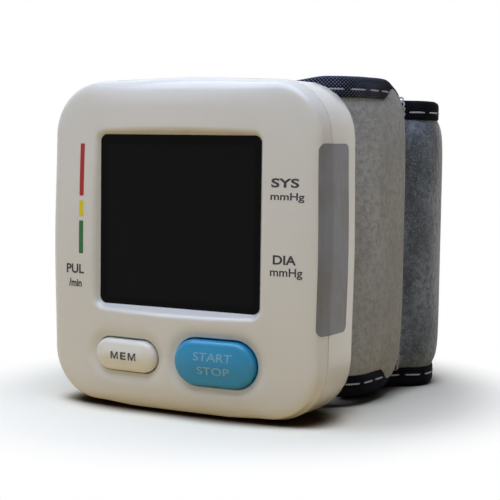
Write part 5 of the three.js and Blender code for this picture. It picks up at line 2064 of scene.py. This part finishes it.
        def back(s: np.ndarray, t: np.ndarray) -> np.ndarray:
            """Face against the wrist."""
            rise = 1 - np.abs(2 * t - 1) ** 4
            return self.lining_tuck - self.thickness(s) - self.lining_lift * smooth(rise, 0, 0.5)

        def face(s: np.ndarray, t: np.ndarray) -> np.ndarray:
            """Face against the plate."""
            return self.lining_tuck - self.thickness(s) + self.lining_thickness

        lining = self.panel(24, face, back).build(self.sizes.part + "_run_lining", sharp=75)
        return self.sewn_on(lining, LINING, "lining")

    def build(self) -> list[Piece]:
        """Makes all pieces of the run."""
        return [self.velour(), self.binding(), self.stitches(), self.lining()]


@dataclass
class HookPatch:
    """Hook tape sewn inside the flap."""

    run: CuffRun
    start: float = 3.0
    inset: float = 8.0
    depth: tuple[float, float] = (3.1, 3.9)

    def build(self) -> list[Piece]:
        """Makes the patch on the flap's inner face.

        Returns:
            The patch alone.
        """
        run = self.run
        first = run.form.base_length + run.form.hinge_gap + self.start
        s = np.linspace(first, run.length - self.inset, 16)
        rings = []
        for at, low, high in zip(s, *run.panel_edges(s, self.inset, self.inset)):
            z = np.linspace(low, high, 24)
            near, far = self.depth
            rings.append(np.vstack([run.place(at, -near, z), run.place(at, -far, z[::-1])]))
        shape = Shape()
        shape.skin(rings, capped=True)
        patch = shape.build("flap_hook_tape", sharp=40)
        return [fitted(patch, HOOKS, "cuff_flap", "hook_tape", "flap_hook_patch")]


# ---------------------------------------------------------------- CAD nodes


@dataclass
class CadDressing:
    """Finishes and smooth shading of the CAD nodes that stay in view."""

    angle: float = 32.0

    def smoothing(self) -> bpy.types.NodeTree:
        """Node group that joins a node's split triangles and shades them smooth up to an angle.

        Returns:
            The node group.
        """
        tree = bpy.data.node_groups.new("smooth_by_angle", "GeometryNodeTree")
        for way in ("INPUT", "OUTPUT"):
            tree.interface.new_socket("Geometry", in_out=way, socket_type="NodeSocketGeometry")
        add, link = tree.nodes.new, tree.links.new
        start, end = add("NodeGroupInput"), add("NodeGroupOutput")
        merge = add("GeometryNodeMergeByDistance")
        merge.inputs["Distance"].default_value = 1e-6
        turn = add("GeometryNodeInputMeshEdgeAngle")
        compare = add("FunctionNodeCompare")
        compare.operation = "LESS_THAN"
        compare.inputs[1].default_value = math.radians(self.angle)
        faces, edges = add("GeometryNodeSetShadeSmooth"), add("GeometryNodeSetShadeSmooth")
        edges.domain = "EDGE"
        link(start.outputs[0], merge.inputs["Geometry"])
        link(merge.outputs[0], faces.inputs["Geometry"])
        link(faces.outputs[0], edges.inputs["Geometry"])
        link(turn.outputs["Unsigned Angle"], compare.inputs[0])
        link(compare.outputs[0], edges.inputs["Shade Smooth"])
        link(edges.outputs[0], end.inputs[0])
        return tree

    def build(self, nodes: dict[str, Piece]) -> None:
        """Dresses every CAD node by its material slot.

        Args:
            nodes: The CAD nodes by name.
        """
        tree = self.smoothing()
        for name, node in sorted(nodes.items()):
            SLOT_FINISHES[node.material_slots[0].name.split(".")[0]].put_on(node)
            custom = node.data.attributes.get("custom_normal")
            if custom is not None:
                node.data.attributes.remove(custom)
            node.modifiers.new("smooth", "NODES").node_group = tree
            log.info("dressed %s", name)


# ---------------------------------------------------------------- studio


@dataclass(frozen=True)
class Lamp:
    """A soft area light that faces a point."""

    name: str
    place: tuple[float, float, float]
    size: tuple[float, float]
    power: float
    colour: Colour = (240, 244, 255)
    target: tuple[float, float, float] = (0.0, 10.0, 35.0)

    def build(self) -> None:
        """Makes the light."""
        data = bpy.data.lights.new(self.name, "AREA")
        data.shape = "RECTANGLE"
        data.size, data.size_y = (v * MM for v in self.size)
        data.energy = self.power
        data.color = linear(self.colour)[:3]
        lamp = linked(self.name, data)
        lamp.location = Vector(self.place) * MM
        way = Vector(self.target) * MM - lamp.location
        lamp.rotation_euler = way.to_track_quat("-Z", "Y").to_euler()


@dataclass
class Studio:
    """Camera, soft lights, world and floor."""

    camera_place: tuple[float, float, float] = (152.59, -259.02, 60.34)
    yaw: float = 28.268
    pitch: float = 4.521
    roll: float = 0.797
    focal: float = 1326.8
    image: float = 500.0
    sensor: float = 36.0
    world_grey: float = 0.14
    floor_size: float = 6000.0
    floor_drop: float = 0.02
    floor_middle: float = 22.0
    floor_near: float = 46.0
    floor_far: float = 76.0
    contact: float = 12.0
    pale: Colour = (255, 249, 232)
    speck: Colour = (240, 234, 218)
    shadow: Colour = (64, 52, 40)
    bounce: Colour = (236, 206, 150)

    LAMPS: ClassVar[tuple] = (
        Lamp("overhead", (-25, -90, 410), (460, 420), 2.2, (218, 230, 255)),
        Lamp("front_left", (-300, -360, 330), (260, 220), 0.1),
        Lamp("right", (420, -120, 120), (260, 300), 0.04),
    )

    def camera(self) -> None:
        """Camera at the photograph's place and angle."""
        data = bpy.data.cameras.new("camera")
        data.sensor_width = self.sensor
        data.lens = self.focal / self.image * self.sensor
        data.clip_start, data.clip_end = 0.01, 20
        yaw, pitch, roll = (math.radians(v) for v in (self.yaw, self.pitch, self.roll))
        ahead = Vector((-math.sin(yaw) * math.cos(pitch), math.cos(yaw) * math.cos(pitch), -math.sin(pitch)))
        right = Vector((math.cos(yaw), math.sin(yaw), 0))
        up = right.cross(ahead)
        turned_right = right * math.cos(roll) + up * math.sin(roll)
        turned_up = up * math.cos(roll) - right * math.sin(roll)
        matrix = Matrix((turned_right, turned_up, -ahead)).transposed().to_4x4()
        matrix.translation = Vector(self.camera_place) * MM
        camera = linked("camera", data)
        camera.matrix_world = matrix
        bpy.context.scene.camera = camera

    def seen(self, tree: bpy.types.NodeTree) -> Socket:
        """Socket that is 1 for camera, glossy and transmission rays.

        Args:
            tree: Tree that it is made in.

        Returns:
            The output socket.
        """
        path = tree.nodes.new("ShaderNodeLightPath")
        total = path.outputs["Is Camera Ray"]
        for name in ("Is Glossy Ray", "Is Transmission Ray"):
            node = tree.nodes.new("ShaderNodeMath")
            node.operation = "MAXIMUM"
            tree.links.new(total, node.inputs[0])
            tree.links.new(path.outputs[name], node.inputs[1])
            total = node.outputs[0]
        return total

    def world(self) -> None:
        """White behind the object, and a plain grey dome for its light."""
        world = bpy.data.worlds.new("studio")
        bpy.context.scene.world = world
        world.use_nodes = True
        tree = world.node_tree
        dome = tree.nodes.new("ShaderNodeMix")
        dome.data_type = "RGBA"
        tree.links.new(self.seen(tree), dome.inputs[0])
        dome.inputs[6].default_value = (self.world_grey, self.world_grey, self.world_grey * 1.04, 1)
        dome.inputs[7].default_value = (1, 1, 1, 1)
        tree.links.new(dome.outputs[2], tree.nodes["Background"].inputs["Color"])

    def floor(self) -> None:
        """Pale floor that keeps the lamps' shadow near the object, adds a painted contact shadow, and runs
        out to white.
        """
        shape = Shape()
        outline, _ = rounded_rect((0, 0), self.floor_size, self.floor_size, self.floor_size / 4, 8, 4)
        shape.add(np.column_stack([outline, np.zeros(len(outline))]), [tuple(range(len(outline)))])
        floor = shape.build("studio_floor", outward=False)
        floor.location.z = -self.floor_drop * MM
        nodes = Nodes("studio_floor_finish")
        vector, middle = nodes.places["Object"], (0.0, self.floor_middle * MM, 0.0)
        for operation, inputs in (("SUBTRACT", {1: middle}), ("MULTIPLY", {1: (1.0, 0.9, 0.0)})):
            node = nodes.add("ShaderNodeVectorMath", {0: vector, **inputs}, operation=operation)
            vector = node.outputs[0]
        far = nodes.add("ShaderNodeVectorMath", {0: vector}, operation="LENGTH").outputs["Value"]
        seen = self.seen(nodes.tree)
        white = nodes.product(nodes.fade(far, self.floor_near * MM, self.floor_far * MM), seen)
        pale = nodes.blend(nodes.mottle(0.8, 2, 0.0, 0.03), self.pale, self.speck)
        # Painted contact shadow: the floor's colour darkens to the shadow colour where ambient occlusion
        # finds the object close.
        near = nodes.add("ShaderNodeAmbientOcclusion", {"Distance": self.contact * MM}).outputs["AO"]
        pale = nodes.blend(nodes.fade(near, 0.3, 0.75), self.shadow, pale)
        nodes.set(Base_Color=nodes.blend(seen, self.bounce, pale), Roughness=0.9, Specular_IOR_Level=0.0)
        glow = nodes.add("ShaderNodeEmission", {"Color": (1.0, 1.0, 1.0, 1.0), "Strength": 1.0})
        mixed = nodes.add("ShaderNodeMixShader", {0: white, 1: nodes.shader.outputs[0], 2: glow.outputs[0]})
        nodes.feed(nodes.tree.nodes["Material Output"].inputs["Surface"], mixed.outputs[0])
        floor.data.materials.append(nodes.material)

    def build(self) -> None:
        """Makes the studio."""
        self.camera()
        self.world()
        self.floor()
        for lamp in self.LAMPS:
            lamp.build()
        bpy.context.scene.view_settings.view_transform = "Standard"


# ---------------------------------------------------------------- assembly


def main() -> None:
    """Builds the studio, dresses the CAD nodes, and makes and reports every visual piece."""
    logging.basicConfig(level=logging.INFO, format="%(name)s: %(message)s", stream=sys.stdout)
    Studio().build()
    CadDressing().build(frame["nodes"])
    buttons = (Button(MEM, IVORY_BUTTON, "ivory_button"), Button(START, BLUE_BUTTON, "blue_button"))
    flap, strap = (CuffRun(CuffForm(), side) for side in Side)
    for assembly in (Housing(FORM), *buttons, Print(FORM, buttons), flap, HookPatch(flap), strap):
        for piece in assembly.build():
            log.info("made %s", piece.name)


if __name__ == "__main__":
    main()
